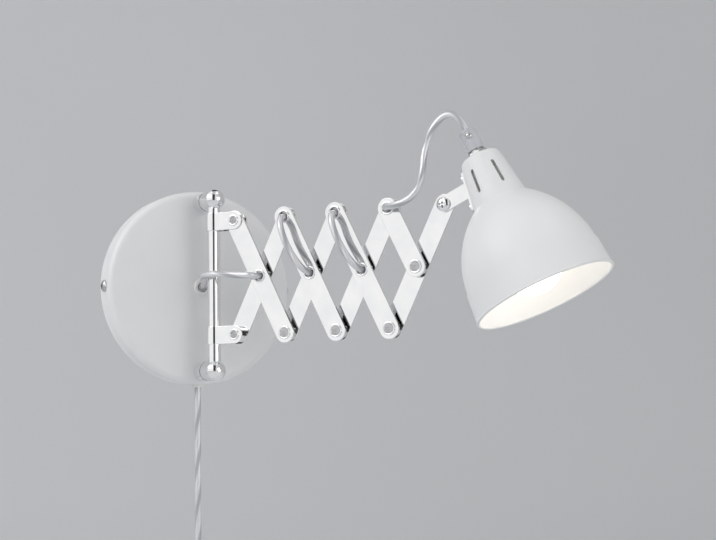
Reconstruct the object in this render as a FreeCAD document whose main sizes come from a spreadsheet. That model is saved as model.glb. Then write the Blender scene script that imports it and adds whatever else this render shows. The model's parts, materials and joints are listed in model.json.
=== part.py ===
import FreeCAD, Part
import math
import os
import Sketcher
from FreeCAD import Placement, Rotation, Vector

# Accordion wall lamp: a round wall plate carries a vertical rod on two posts, a scissor arm of flat links swings on
# the rod, and a bell shade on a threaded nipple tilts at the arm's end. Millimetres. The origin is the centre of the
# plate's back, on the wall; the lamp stands out along -Y and Z is up.
#
# Each line below is one driving dimension: the name of its cell, its size, and what it measures.
SIZES = {
    # wall plate
    "plate_depth": 19.0,         # wall to the plate's face
    "plate_wall": 1.2,           # sheet of the plate
    "plate_edge": 5.0,           # rounding of the front edge
    "cable_hole": 10.0,          # hole in the middle of the face
    "grommet_lip": 13.0,
    "grommet_bore": 8.0,
    "side_screw_thread": 4.0,    # screws in the plate's side wall
    "side_screw_head": 8.6,
    "side_screw_crown": 2.4,
    "side_screw_length": 8.0,
    # bracket on the wall, behind the plate
    "bracket_width": 24.0,
    "bracket_sheet": 1.5,
    "bracket_ear": 14.0,         # how far the bent ends stand off the wall
    "slot_spacing": 60.0,        # between the two wall-screw slots
    "slot_width": 5.0,
    "slot_length": 12.0,
    # posts and rod
    "post_inset": 10.0,          # plate's edge to a post's axis
    "post_diameter": 15.0,
    "post_dome": 5.0,            # height of the domed end
    "post_nose": 4.0,            # straight length beyond the rod's axis
    "groove_width": 0.9,
    "groove_depth": 0.7,
    "groove_place": 13.0,        # plate face to the groove
    "stud_diameter": 6.0,
    "stud_length": 6.0,
    "nut_width": 10.0,           # across the flats of the nuts on the studs
    "nut_height": 4.0,
    "rod_stand_off": 24.3,       # plate face to rod axis
    "rod_diameter": 9.8,
    "rod_bite": 3.0,             # how far the rod's ends pass the post axes
    # clamps on the rod
    "clamp_height": 13.5,
    "upper_room": 3.15,          # upper clamp to the upper post
    "lower_room": 2.35,          # lower clamp to the lower post when the links are folded upright
    "clamp_sheet": 1.2,
    "clamp_reach": 20.2,         # rod axis to the clamp's rivet
    "clamp_tube": 6.8,           # outside of the clamp rivet's tube
    "clamp_bore": 5.4,
    "clamp_flange": 8.4,
    # scissor links and eyelets
    "link_pitch": 96.0,          # between a link's end pivots
    "link_width": 15.0,
    "link_sheet": 2.0,
    "layer_gap": 3.0,            # between the front and the back layer
    "eyelet_tube": 8.0,          # outside of the eyelet's tube
    "eyelet_bore": 6.8,
    "eyelet_flange": 9.8,
    "eyelet_collar": 11.0,       # shoulder that keeps the layers apart
    "flange_sheet": 0.8,
    "rest_angle": 26.3,          # links from the vertical, in degrees
    "arm_yaw": 35.0,             # arm from the square-out direction, in degrees
    # head joint
    "head_reach": 38.0,          # hinge to the shade's axis
    "head_drop": 17.0,           # hinge below the neck's top
    "shade_tilt": 24.9,          # shade's axis from the vertical, in degrees
    "tongue_width": 11.0,
    "tongue_sheet": 1.5,
    "strip_length": 27.0,
    "strip_width": 11.0,
    "strip_sheet": 1.5,
    "strip_rivet": 3.0,
    "strip_rivet_head": 5.0,
    "strip_rivet_spacing": 21.0,
    "strip_rivet_crown": 0.8,
    "strip_drop": 2.0,           # hinge to the middle of the strip
    "head_screw_thread": 5.0,
    "head_screw_head": 10.0,
    "head_screw_crown": 2.5,
    "head_nut_width": 8.0,
    "head_nut_height": 4.0,
    # shade
    "shade_height": 110.0,
    "shade_wall": 1.0,
    "mouth_radius": 50.8,
    "rim_bead": 1.0,             # radius of the rolled rim
    "skirt_height": 21.3,        # mouth to the step
    "skirt_radius": 48.7,
    "step_width": 0.7,
    "shoulder_height": 46.0,     # a point half-way up the bell
    "shoulder_radius": 42.1,
    "neck_height": 36.0,
    "neck_foot_radius": 19.5,
    "neck_top_radius": 14.2,
    "neck_rounding": 4.0,
    "vent_count": 5.0,
    "vent_step": 60.0,           # from vent to vent, in degrees
    "vent_start": -17.0,         # first vent, in degrees from the arm's front side
    "vent_width": 2.6,
    "vent_length": 18.0,
    "vent_drop": 10.0,           # neck's top to the vents' upper end
    # lamp holder, bulb, nipple and cord grip
    "nipple_diameter": 10.0,
    "nipple_bore": 7.0,
    "nipple_hold": 5.0,          # length screwed into the holder, and into the grip
    "nipple_nut_width": 13.0,
    "nipple_nut_height": 3.0,
    "grip_lift": 5.0,            # neck's top to the grip
    "grip_diameter": 12.4,
    "grip_height": 16.0,
    "grip_chamfer": 1.2,
    "grip_screw_thread": 3.5,
    "grip_screw_head": 4.4,
    "grip_screw_crown": 1.4,
    "grip_screw_length": 3.0,
    "grip_screw_turn": -75.0,    # round the shade's axis, in degrees from the arm's direction
    "holder_diameter": 26.0,
    "holder_height": 45.0,
    "holder_drop": 6.0,          # neck's top to the holder's top
    "holder_bore": 15.0,
    "holder_chamfer": 2.0,
    "bulb_diameter": 45.0,
    "bulb_length": 78.0,
    "bulb_inset": 3.0,           # mouth to the bulb's lowest point
    "bulb_cap_diameter": 13.8,
    "bulb_neck_length": 3.0,     # ball's top to the metal cap
    "bulb_contact": 4.0,
    "bulb_neck_diameter": 13.0,
    "bulb_wall": 1.0,
    # fittings inside the plate
    "bushing_wall": 0.9,
    "bushing_flange": 2.0,       # how far the bushing stands out of the plate
    "bushing_length": 6.0,
    "terminal_length": 24.0,
    "terminal_height": 14.0,
    "terminal_depth": 12.0,
    "terminal_place": 18.0,      # plate's centre to the terminal block
    "terminal_screw": 3.0,
    "anchor_width": 14.0,
    "anchor_height": 8.0,
    "anchor_inset": 17.0,        # plate's edge to the cord anchor
    # cords
    "cord_diameter": 5.0,
    "cord_bulge": 12.5,          # how far the cord stands off the arm between two eyelets
    "mains_depth": 9.5,          # wall to the mains cord
    "drop_length": 129.0,        # middle of the bushing to the switch
    "coil_lead": 40.0,           # switch to the coil's height
    "coil_turns": 4.0,           # turns in each of the two layers
    "coil_pitch": 5.6,           # from turn to turn, and from layer to layer
    "coil_radius": 41.5,
    "coil_tail": 42.0,           # coil's height to the plug
    "tie_width": 8.0,
    "tie_sheet": 1.0,
    "tie_gap": 0.3,              # between the tie and the coil
    # switch on the cord, and plug
    "switch_length": 58.0,
    "switch_width": 26.0,
    "switch_depth": 17.0,
    "switch_wall": 2.0,
    "switch_edge": 2.5,
    "rocker_length": 22.0,
    "rocker_width": 10.0,
    "rocker_depth": 6.0,
    "rocker_tip": 7.0,           # tilt to either side, in degrees
    "rocker_pin": 2.4,
    "rocker_place": 4.5,         # cover's face to the rocker's pin
    "rocker_end_gap": 0.3,
    "plug_length": 36.0,
    "plug_width": 35.0,
    "plug_depth": 14.0,
    "plug_edge": 4.0,
    "pin_diameter": 4.0,
    "pin_length": 19.0,          # length outside the plug
    "pin_root": 8.0,             # length inside the plug
    "pin_spacing": 19.0,
    # clearances
    "running_gap": 0.15,         # between faces that slide past each other
    "running_fit": 0.05,         # a shaft in its hole, on the radius
    "seat_gap": 0.05,            # a curved face beside a flat one
}
# The rod takes the folded links and both clamps between the posts, and the plate carries the posts.
FORMULAS = {
    "post_spacing": "=link_pitch + clamp_height + post_diameter + upper_room + lower_room",
    "plate_diameter": "=post_spacing + 2 * post_inset",
    "top_pivot_height": "=(post_spacing - post_diameter - clamp_height) / 2 - upper_room",
}

document = FreeCAD.newDocument("accordion_wall_lamp")
sheet = document.addObject("Spreadsheet::Sheet", "sizes")
for row, (alias, content) in enumerate((SIZES | FORMULAS).items(), start=1):
    sheet.set("A%d" % row, alias)
    sheet.set("B%d" % row, str(content))
    sheet.setAlias("B%d" % row, alias)
document.recompute()


def size(alias):
    """One dimension, as the sheet holds it."""
    return float(getattr(sheet, alias))


OUT = Rotation(Vector(1, 0, 0), 90)        # turns a piece's own Z to point away from the wall
ACROSS = Rotation(Vector(0, 1, 0), 90)     # turns it to point along X
DOWN = Rotation(Vector(1, 0, 0), 180)      # turns it to point down
finished = []


def at(x, y, z, rotation=Rotation()):
    return Placement(Vector(x, y, z), rotation)


def finish(label, thing, frame=Placement()):
    """Name a finished sub-part, move it from its own frame into the lamp's, and keep it for the export."""
    thing.Label = label
    thing.Placement = frame.multiply(thing.Placement)
    finished.append(thing)
    return thing


def cylinder(diameter, height, place):
    """A round bar on its own Z; both sizes are formulas of the sheet's cells."""
    thing = document.addObject("Part::Cylinder", "bar")
    thing.setExpression("Radius", "(%s) / 2" % diameter)
    thing.setExpression("Height", height)
    thing.Placement = place
    return thing


def block(length, width, height, place):
    """A block centred on its own X and Y, standing on its own Z."""
    thing = document.addObject("Part::Box", "block")
    thing.setExpression("Length", length)
    thing.setExpression("Width", width)
    thing.setExpression("Height", height)
    document.recompute([thing])
    thing.Placement = place.multiply(at(-thing.Length.Value / 2, -thing.Width.Value / 2, 0))
    return thing


def nut(width, height, place):
    """A hexagon bar, from its width across the flats."""
    thing = document.addObject("Part::Prism", "nut")
    thing.Polygon = 6
    thing.setExpression("Circumradius", "(%s) / 2 / cos(30)" % width)
    thing.setExpression("Height", height)
    thing.Placement = place
    return thing


def cut(base, *tools):
    for tool in tools:
        thing = document.addObject("Part::Cut", "cut")
        thing.Base = base
        thing.Tool = tool
        base = thing
    return base


def fuse(*things):
    thing = document.addObject("Part::MultiFuse", "joined")
    thing.Shapes = list(things)
    return thing


def group(*things):
    """Separate solids of one kind, kept together in one node."""
    thing = document.addObject("Part::Compound", "group")
    thing.Links = list(things)
    return thing


def shaped(shape, place=Placement()):
    """A piece whose shape is worked out here, from the sheet's sizes."""
    thing = document.addObject("Part::Feature", "shape")
    thing.Shape = shape
    thing.Placement = place
    return thing


def outline(start, *steps):
    """A closed outline of (x, z) points; a step that is a pair of points is an arc through the first to the second."""
    edges = []
    here = Vector(start[0], 0, start[1])
    for step in steps + (start,):
        if isinstance(step[0], tuple):
            middle, end = (Vector(x, 0, z) for x, z in step)
            edges.append(Part.Arc(here, middle, end).toShape())
        else:
            end = Vector(step[0], 0, step[1])
            edges.append(Part.LineSegment(here, end).toShape())
        here = end
    return Part.Face(Part.Wire(edges))


def turned(start, *steps):
    """The solid that an outline sweeps round the Z axis."""
    return outline(start, *steps).revolve(Vector(), Vector(0, 0, 1), 360)


def pan_head(diameter, crown):
    """A screw's head standing on Z = 0: a low cylinder under a shallow dome, with a cross recess."""
    radius = diameter / 2
    brim = crown * 0.4
    lean = math.sqrt(0.5)
    head = turned((0, 0), (radius, 0), (radius, brim),
                  ((radius * lean, brim + (crown - brim) * lean), (0, crown)))
    arm = radius * 1.1
    web = radius * 0.22
    recess = Part.makeBox(arm, web, crown, Vector(-arm / 2, -web / 2, crown * 0.5))
    crossing = Part.makeBox(web, arm, crown, Vector(-web / 2, -arm / 2, crown * 0.5))
    return head.cut(recess.fuse(crossing))


def make_body(name):
    """A body with an empty sketch on its XZ plane."""
    body = document.addObject("PartDesign::Body", name)
    drawing = body.newObject("Sketcher::SketchObject", name + "_outline")
    plane = [part for part in body.Origin.OriginFeatures if part.Role == "XZ_Plane"][0]
    drawing.AttachmentSupport = (plane, "")
    drawing.MapMode = "FlatFace"
    return body, drawing


def measure(drawing, name, formula, *constraint):
    """Add one dimension to a sketch and tie it to a formula of the sheet's cells."""
    index = drawing.addConstraint(Sketcher.Constraint(*constraint))
    drawing.renameConstraint(index, name)
    drawing.setExpression(".Constraints." + name, formula)


# ------------------------------------------------------------------------------------------ shared places
plate_radius = size("plate_diameter") / 2
face_y = -size("plate_depth")
rod_y = face_y - size("rod_stand_off")
post_z = size("post_spacing") / 2
mains_y = -size("mains_depth")
cord_radius = size("cord_diameter") / 2
half_gap = size("layer_gap") / 2
link_back = half_gap + size("link_sheet")            # a link's outer face, from the arm's middle plane
ear_face = link_back + size("running_gap")           # a clamp ear's inner face
rest = math.radians(size("rest_angle"))
half_span = size("link_pitch") / 2 * math.sin(rest)  # sideways from one row of pivots to the next
half_rise = size("link_pitch") / 2 * math.cos(rest)

# The wall plate's frame: X is the lamp's X, Y is the lamp's Z, and Z points away from the wall.
PLATE = at(0, 0, 0, OUT)
# The arm's frame: X along the arm, Z up the rod's axis, Y through the links, so the front layer is at -Y.
ARM = at(0, rod_y, 0, Rotation(Vector(0, 0, 1), size("arm_yaw") - 90))


def pivot(row, number):
    """Where a pivot lies in the arm's frame, for row 0 (top), 1 (middle) or 2 (low), numbered from the clamps."""
    steps = 2 * number - row % 2
    return Vector(size("clamp_reach") + steps * half_span, 0, size("top_pivot_height") - row * half_rise)


# ------------------------------------------------------------------------------------------ wall plate
def wall_plate():
    """A cup of sheet metal, open to the wall, with a rounded front edge and its holes."""
    body = document.addObject("PartDesign::Body", "plate_cup")
    drawing = body.newObject("Sketcher::SketchObject", "plate_circle")
    plane = [part for part in body.Origin.OriginFeatures if part.Role == "XY_Plane"][0]
    drawing.AttachmentSupport = (plane, "")
    drawing.MapMode = "FlatFace"
    drawing.addGeometry(Part.Circle(Vector(), Vector(0, 0, 1), plate_radius), False)
    drawing.addConstraint(Sketcher.Constraint("Coincident", 0, 3, -1, 1))
    measure(drawing, "radius", "sizes.plate_diameter / 2", "Radius", 0, plate_radius)
    pad = body.newObject("PartDesign::Pad", "plate_disc")
    pad.Profile = drawing
    pad.setExpression("Length", "sizes.plate_depth")
    document.recompute()
    front = ["Edge%d" % number for number, edge in enumerate(pad.Shape.Edges, start=1)
             if edge.Closed and edge.BoundBox.ZMin > size("plate_depth") / 2]
    fillet = body.newObject("PartDesign::Fillet", "plate_rounding")
    fillet.Base = (pad, front)
    fillet.setExpression("Radius", "sizes.plate_edge")
    document.recompute()
    back = ["Face%d" % number for number, face in enumerate(fillet.Shape.Faces, start=1)
            if face.BoundBox.ZMax < size("plate_depth") / 2]
    hollow = body.newObject("PartDesign::Thickness", "plate_hollow")
    hollow.Base = (fillet, back)
    hollow.setExpression("Value", "sizes.plate_wall")
    hollow.Reversed = True
    document.recompute()
    holes = [cylinder("sizes.cable_hole", "2 * sizes.plate_depth", at(0, 0, 0))]
    for side in (1, -1):
        holes.append(cylinder("sizes.stud_diameter + 2 * sizes.running_fit", "2 * sizes.plate_depth",
                              at(0, side * post_z, 0)))
    holes.append(cylinder("sizes.side_screw_thread + 2 * sizes.running_fit", "2 * sizes.plate_diameter",
                          at(-size("plate_diameter"), 0, size("mains_depth"), ACROSS)))
    holes.append(cylinder("sizes.cord_diameter + 2 * (sizes.bushing_wall + 2 * sizes.running_fit)",
                          "sizes.plate_diameter", at(0, 0, size("mains_depth"), OUT)))
    return cut(body, *holes)


def wall_bracket():
    """A strip on the wall behind the plate, its two ends bent forward to take the plate's side screws."""
    reach = plate_radius - size("plate_wall") - size("running_gap")
    round_end = cylinder("sizes.plate_diameter - 2 * (sizes.plate_wall + sizes.running_gap)", "sizes.bracket_ear",
                         at(0, 0, 0))
    strip = block("sizes.plate_diameter", "sizes.bracket_width", "sizes.bracket_ear", at(0, 0, 0))
    ends = document.addObject("Part::Common", "ends")
    ends.Base = strip
    ends.Tool = round_end
    ear = 2.0 * size("bracket_sheet")
    chord = math.sqrt(reach ** 2 - (size("bracket_width") / 2) ** 2)
    inside = shaped(Part.makeBox(2 * (chord - ear), 2 * size("bracket_width"), size("bracket_ear"),
                                 Vector(ear - chord, -size("bracket_width"), size("bracket_sheet"))))
    slots = []
    for side in (1, -1):
        middle = side * size("slot_spacing") / 2
        straight = size("slot_length") - size("slot_width")
        slots.append(block("sizes.slot_length - sizes.slot_width", "sizes.slot_width", "2 * sizes.bracket_ear",
                           at(middle, 0, -size("bracket_sheet"))))
        for end in (1, -1):
            slots.append(cylinder("sizes.slot_width", "2 * sizes.bracket_ear",
                                  at(middle + end * straight / 2, 0, -size("bracket_sheet"))))
    thread = cylinder("sizes.side_screw_thread + 2 * sizes.running_fit", "2 * sizes.plate_diameter",
                      at(-size("plate_diameter"), 0, size("mains_depth"), ACROSS))
    return cut(ends, inside, *slots, thread)


def side_screws():
    """Two pan-head screws through the plate's side wall into the bracket's bent ends."""
    screws = []
    for side in (1, -1):
        place = at(0, 0, size("mains_depth"), Rotation(Vector(0, 0, 1), Vector(side, 0, 0)))
        seat = plate_radius + size("seat_gap")
        shank = cylinder("sizes.side_screw_thread", "sizes.side_screw_length + sizes.seat_gap",
                         place.multiply(at(0, 0, plate_radius - size("side_screw_length"))))
        head = shaped(pan_head(size("side_screw_head"), size("side_screw_crown")), place.multiply(at(0, 0, seat)))
        screws.append(fuse(shank, head))
    return group(*screws)


finish("wall_plate", wall_plate(), PLATE)
finish("wall_bracket", wall_bracket(), PLATE)
finish("plate_side_screws", side_screws(), PLATE)


# ------------------------------------------------------------------------------------------ posts and rod
def post(side):
    """One post on its own Z from the plate's face: stud, grooved bar, domed end, and the bore for the rod."""
    radius = size("post_diameter") / 2
    straight = size("rod_stand_off") + size("post_nose")
    groove = size("groove_place")
    half_groove = size("groove_width") / 2
    waist = radius - size("groove_depth")
    dome = size("post_dome")
    bend = (radius ** 2 + dome ** 2) / (2 * dome)
    half_arc = math.asin(min(1.0, radius / bend)) / 2
    shoulder = (bend * math.sin(half_arc), straight + dome - bend + bend * math.cos(half_arc))
    bar = turned((0, 0), (radius, 0), (radius, groove - half_groove), (waist, groove - half_groove),
                 (waist, groove + half_groove), (radius, groove + half_groove), (radius, straight),
                 (shoulder, (0, straight + dome)))
    whole = fuse(shaped(bar), cylinder("sizes.stud_diameter", "sizes.stud_length", at(0, 0, -size("stud_length"))))
    start = side * (size("rod_bite") + size("running_fit"))
    bore = cylinder("sizes.rod_diameter + 2 * sizes.running_fit", "sizes.post_diameter + sizes.rod_bite",
                    at(0, start, size("rod_stand_off"), Rotation(Vector(0, 0, 1), Vector(0, -side, 0))))
    return whole, bore


def posts():
    """Both posts. The rod's end sits in a blind bore on the side that faces the other post."""
    pieces = []
    for side in (1, -1):
        whole, bore = post(side)
        piece = cut(whole, bore)
        piece.Placement = at(0, side * post_z, size("plate_depth"))
        pieces.append(piece)
    return group(*pieces)


def post_nuts():
    """The nuts that draw the posts' studs against the plate, inside it."""
    nuts = []
    for side in (1, -1):
        place = at(0, side * post_z, size("plate_depth") - size("plate_wall") - size("nut_height"))
        hole = cylinder("sizes.stud_diameter + 2 * sizes.running_fit", "sizes.nut_height", place)
        nuts.append(cut(nut("sizes.nut_width", "sizes.nut_height", place), hole))
    return group(*nuts)


finish("posts", posts(), PLATE)
finish("post_nuts", post_nuts(), PLATE)
finish("swivel_rod", cylinder("sizes.rod_diameter", "sizes.post_spacing + 2 * sizes.rod_bite",
                              at(0, rod_y, -post_z - size("rod_bite"))))


# ------------------------------------------------------------------------------------------ inside the plate
def cable_grommet():
    """The lipped ring that lines the hole in the plate's face."""
    outer = size("grommet_lip") / 2
    neck = size("cable_hole") / 2 - size("running_fit")
    bore = size("grommet_bore") / 2
    lip = size("plate_wall")
    top = size("plate_depth")
    return shaped(turned((bore, top + lip), (bore, top - 2 * lip), (neck + lip, top - 2 * lip),
                         (neck + lip, top - lip), (neck, top - lip), (neck, top), (outer, top),
                         ((outer - lip * 0.3, top + lip * 0.7), (outer - lip, top + lip))))


def mains_bushing():
    """The flanged sleeve in the plate's side wall, where the mains cord leaves it downward."""
    bore = cord_radius + size("running_fit")
    neck = bore + size("bushing_wall")
    lip = neck + size("plate_wall")
    out = size("bushing_flange")
    sleeve = turned((bore, 0), (lip, 0), (lip, out), (neck, out), (neck, size("bushing_length")),
                    (bore, size("bushing_length")))
    return shaped(sleeve, at(0, mains_y, -plate_radius - out))


def terminal_block():
    """The block where the lamp's cord meets the mains cord, with its screw holes."""
    thing = block("sizes.terminal_length", "sizes.terminal_height", "sizes.terminal_depth",
                  at(size("terminal_place") + size("terminal_length") / 2, 0, size("bracket_sheet")))
    return cut(thing, *(cylinder("sizes.terminal_screw + 2 * sizes.running_fit", "sizes.terminal_depth",
                                 place.multiply(at(0, 0, -size("terminal_depth") / 2)))
                        for place in terminal_screw_places()))


def terminal_screw_places():
    """Where the four clamping screws end, at the block's front."""
    front = size("bracket_sheet") + size("terminal_depth")
    middle = size("terminal_place") + size("terminal_length") / 2
    return [at(middle + x * size("terminal_length") / 4, y * size("terminal_height") / 4, front)
            for x in (1, -1) for y in (1, -1)]


def terminal_screws():
    return group(*(cylinder("sizes.terminal_screw", "sizes.terminal_depth / 2",
                            place.multiply(at(0, 0, -size("terminal_depth") / 2)))
                   for place in terminal_screw_places()))


def cord_anchor():
    """A saddle on the back of the plate's face that holds the mains cord."""
    top = size("plate_depth") - size("plate_wall")
    floor = size("mains_depth") - cord_radius - size("plate_wall")
    saddle = shaped(Part.makeBox(size("anchor_width"), size("anchor_height"), top - floor,
                                 Vector(-size("anchor_width") / 2, size("anchor_inset") - plate_radius, floor)))
    return cut(saddle, cylinder("sizes.cord_diameter + 2 * sizes.running_fit", "2 * sizes.plate_diameter",
                                at(0, size("plate_diameter"), size("mains_depth"), OUT)))


finish("cable_grommet", cable_grommet(), PLATE)
finish("mains_bushing", mains_bushing())
finish("terminal_block", terminal_block(), PLATE)
finish("terminal_screws", terminal_screws(), PLATE)
finish("cord_anchor", cord_anchor(), PLATE)


# ------------------------------------------------------------------------------------------ clamps on the rod
def clamp():
    """A strap bent round the rod, its two ends standing out as ears; its own Z is the rod's, its middle at Z = 0."""
    height = size("clamp_height")
    reach = size("clamp_reach")
    ear_outside = ear_face + size("clamp_sheet")
    wrap = cylinder("sizes.rod_diameter + 2 * (sizes.running_fit + sizes.clamp_sheet)", "sizes.clamp_height",
                    at(0, 0, -height / 2))
    ears = Part.makeBox(reach, 2 * ear_outside, height, Vector(0, -ear_outside, -height / 2))
    ears = ears.fuse(Part.makeCylinder(height / 2, 2 * ear_outside, Vector(reach, -ear_outside, 0), Vector(0, 1, 0)))
    between_ears = shaped(Part.makeBox(2 * reach, 2 * ear_face, 2 * height, Vector(0, -ear_face, -height)))
    rod_hole = cylinder("sizes.rod_diameter + 2 * sizes.running_fit", "2 * sizes.clamp_height", at(0, 0, -height))
    rivet_hole = cylinder("sizes.clamp_tube + 2 * sizes.running_fit", "4 * sizes.clamp_reach",
                          at(reach, 2 * reach, 0, OUT))
    return cut(fuse(wrap, shaped(ears)), between_ears, rod_hole, rivet_hole)


def tubular_rivet(tube, bore, rings):
    """A tube on the Y axis with its flanges and collar, each ring given as (from, to, radius)."""
    start, end = rings[0][0], rings[-1][1]
    along = Vector(0, 1, 0)
    rivet = Part.makeCylinder(tube, end - start, Vector(0, start, 0), along)
    for first, last, radius in rings:
        rivet = rivet.fuse(Part.makeCylinder(radius, last - first, Vector(0, first, 0), along))
    return rivet.cut(Part.makeCylinder(bore, end - start, Vector(0, start, 0), along)).removeSplitter()


def clamp_rivet(place):
    """The rivet through a clamp's ears and the link between them, with the collar that fills the other layer."""
    ear_outside = ear_face + size("clamp_sheet")
    rings = [(-ear_outside - size("flange_sheet"), -ear_outside, size("clamp_flange") / 2),
             (size("running_gap") - half_gap, ear_face, size("eyelet_collar") / 2),
             (ear_outside, ear_outside + size("flange_sheet"), size("clamp_flange") / 2)]
    return shaped(tubular_rivet(size("clamp_tube") / 2, size("clamp_bore") / 2, rings), place)


def eyelet(place):
    """The eyelet that joins two layers: fast in the front link, with a running gap at the back link."""
    gap = size("running_gap")
    rings = [(-link_back - size("flange_sheet"), -link_back, size("eyelet_flange") / 2),
             (-half_gap, half_gap - gap, size("eyelet_collar") / 2),
             (link_back + gap, link_back + gap + size("flange_sheet"), size("eyelet_flange") / 2)]
    return shaped(tubular_rivet(size("eyelet_tube") / 2, size("eyelet_bore") / 2, rings), place)


TURN_BACK = Rotation(Vector(0, 0, 1), 180)   # swaps a rivet's front and back
top_clamp = pivot(0, 0)
low_clamp = pivot(2, 0)
finish("upper_clamp", clamp(), ARM.multiply(at(0, 0, top_clamp.z)))
finish("lower_clamp", clamp(), ARM.multiply(at(0, 0, low_clamp.z)))
finish("upper_clamp_rivet", clamp_rivet(Placement(top_clamp, Rotation())), ARM)
finish("lower_clamp_rivet", clamp_rivet(Placement(low_clamp, TURN_BACK)), ARM)


# ------------------------------------------------------------------------------------------ scissor links
EYELET_HOLE = "sizes.eyelet_tube / 2 + sizes.running_fit"
CLAMP_HOLE = "sizes.clamp_tube / 2 + sizes.running_fit"
SCREW_HOLE = "sizes.head_screw_thread / 2 + sizes.running_fit"


def link(name, holes):
    """A flat bar with round ends, its first hole at the origin and the others half a pitch apart along X."""
    body, drawing = make_body(name + "_bar")
    length = (len(holes) - 1) * size("link_pitch") / 2
    radius = size("link_width") / 2
    ends = [drawing.addGeometry(Part.ArcOfCircle(Part.Circle(Vector(x, 0, 0), Vector(0, 0, 1), radius),
                                                 math.radians(turn), math.radians(turn + 180)), False)
            for x, turn in ((0, 90), (length, -90))]
    sides = [drawing.addGeometry(Part.LineSegment(Vector(0, y, 0), Vector(length, y, 0)), False)
             for y in (radius, -radius)]
    drawing.addConstraint(Sketcher.Constraint("Coincident", ends[0], 3, -1, 1))
    drawing.addConstraint(Sketcher.Constraint("PointOnObject", ends[1], 3, -1))
    for arc, arc_end, line, line_end in ((ends[0], 1, sides[0], 1), (ends[1], 2, sides[0], 2),
                                         (ends[0], 2, sides[1], 1), (ends[1], 1, sides[1], 2)):
        drawing.addConstraint(Sketcher.Constraint("Tangent", arc, arc_end, line, line_end))
    measure(drawing, "end_radius", "sizes.link_width / 2", "Radius", ends[0], radius)
    measure(drawing, "reach", "sizes.link_pitch * %s / 2" % (len(holes) - 1),
            "DistanceX", ends[0], 3, ends[1], 3, length)
    for place, hole in enumerate(holes):
        x = place * size("link_pitch") / 2
        circle = drawing.addGeometry(Part.Circle(Vector(x, 0, 0), Vector(0, 0, 1), radius / 2), False)
        measure(drawing, "hole_radius_%d" % place, hole, "Radius", circle, radius / 2)
        if place == 0:
            drawing.addConstraint(Sketcher.Constraint("Coincident", circle, 3, -1, 1))
        else:
            drawing.addConstraint(Sketcher.Constraint("PointOnObject", circle, 3, -1))
            measure(drawing, "hole_place_%d" % place, "sizes.link_pitch * %s / 2" % place,
                    "DistanceX", -1, 1, circle, 3, x)
    pad = body.newObject("PartDesign::Pad", name + "_pad")
    pad.Profile = drawing
    pad.setExpression("Length", "sizes.link_sheet")
    return body


def front_place(number):
    """The frame of front link 1 to 4: from its upper pivot down and outward, its own X along the link."""
    top = pivot(0, number - 1)
    return ARM.multiply(Placement(top, Rotation(Vector(0, 1, 0), 90 - size("rest_angle"))))


def back_place(number):
    """The frame of back link 1 to 4: from its lower pivot up and outward."""
    low = pivot(2, number - 1)
    return ARM.multiply(Placement(low, Rotation(Vector(0, 1, 0), size("rest_angle") - 90)))


for number in (1, 2, 3, 4):
    front_holes = [CLAMP_HOLE if number == 1 else EYELET_HOLE] + [EYELET_HOLE] * (2 if number < 4 else 1)
    name = "front_link_%d" % number
    finish(name, link(name, front_holes), front_place(number).multiply(at(0, -half_gap, 0)))
    back_holes = [CLAMP_HOLE if number == 1 else EYELET_HOLE, EYELET_HOLE,
                  EYELET_HOLE if number < 4 else SCREW_HOLE]
    name = "back_link_%d" % number
    finish(name, link(name, back_holes), back_place(number).multiply(at(0, link_back, 0)))

for number in (1, 2, 3, 4):
    crossing = eyelet(Placement(pivot(1, number), Rotation()))
    if number < 4:
        below = eyelet(Placement(pivot(2, number), Rotation()))
        finish("front_link_%d_eyelets" % number, group(crossing, below), ARM)
        finish("back_link_%d_eyelet" % number, eyelet(Placement(pivot(0, number), TURN_BACK)), ARM)
    else:
        finish("front_link_4_eyelet", crossing, ARM)


# ------------------------------------------------------------------------------------------ cords
def unit(vector):
    return vector * (1.0 / vector.Length)


def cord_wire(label, points):
    """Straight runs joined by tangent arcs, each arc as large as the shorter of its two runs allows."""
    edges = []
    radii = []
    here = points[0]
    for before, corner, after in zip(points, points[1:], points[2:]):
        into, out = corner - before, after - corner
        cut_back = 0.45 * min(into.Length, out.Length)
        half_turn = into.getAngle(out) / 2
        radius = cut_back / math.tan(half_turn)
        into, out = unit(into), unit(out)
        first, last = corner - into * cut_back, corner + out * cut_back
        middle = corner + unit(out - into) * (radius / math.cos(half_turn) - radius)
        edges.append(Part.LineSegment(here, first).toShape())
        edges.append(Part.Arc(first, middle, last).toShape())
        radii.append(round(radius, 1))
        here = last
    edges.append(Part.LineSegment(here, points[-1]).toShape())
    print("%s: radii %s" % (label, radii))
    return Part.Wire(edges)


def tube(label, wire):
    """The cord's round section carried along a wire; its volume is compared with section times length."""
    start = wire.Edges[0]
    along = start.tangentAt(start.FirstParameter)
    ring = Part.Wire(Part.makeCircle(cord_radius, start.valueAt(start.FirstParameter), along))
    solid = wire.makePipeShell([ring], True, False)
    expected = math.pi * cord_radius ** 2 * wire.Length
    print("%s: %.1f mm long, volume %.4f of section times length" % (label, wire.Length, solid.Volume / expected))
    return solid


def cord(label, points):
    finish(label, shaped(tube(label, cord_wire(label, points))))


def straight_cord(label, start, end):
    """A plain straight length of cord along Z."""
    top = max(start.z, end.z)
    length = abs(start.z - end.z)
    solid = Part.makeCylinder(cord_radius, length, Vector(start.x, start.y, top), Vector(0, 0, -1))
    print("%s: %.1f mm long, straight" % (label, length))
    finish(label, shaped(solid))


def in_frame(frame, *points):
    return [frame.multVec(Vector(*point)) for point in points]


bulge = size("cord_bulge")
half_pitch = size("link_pitch") / 2

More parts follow.
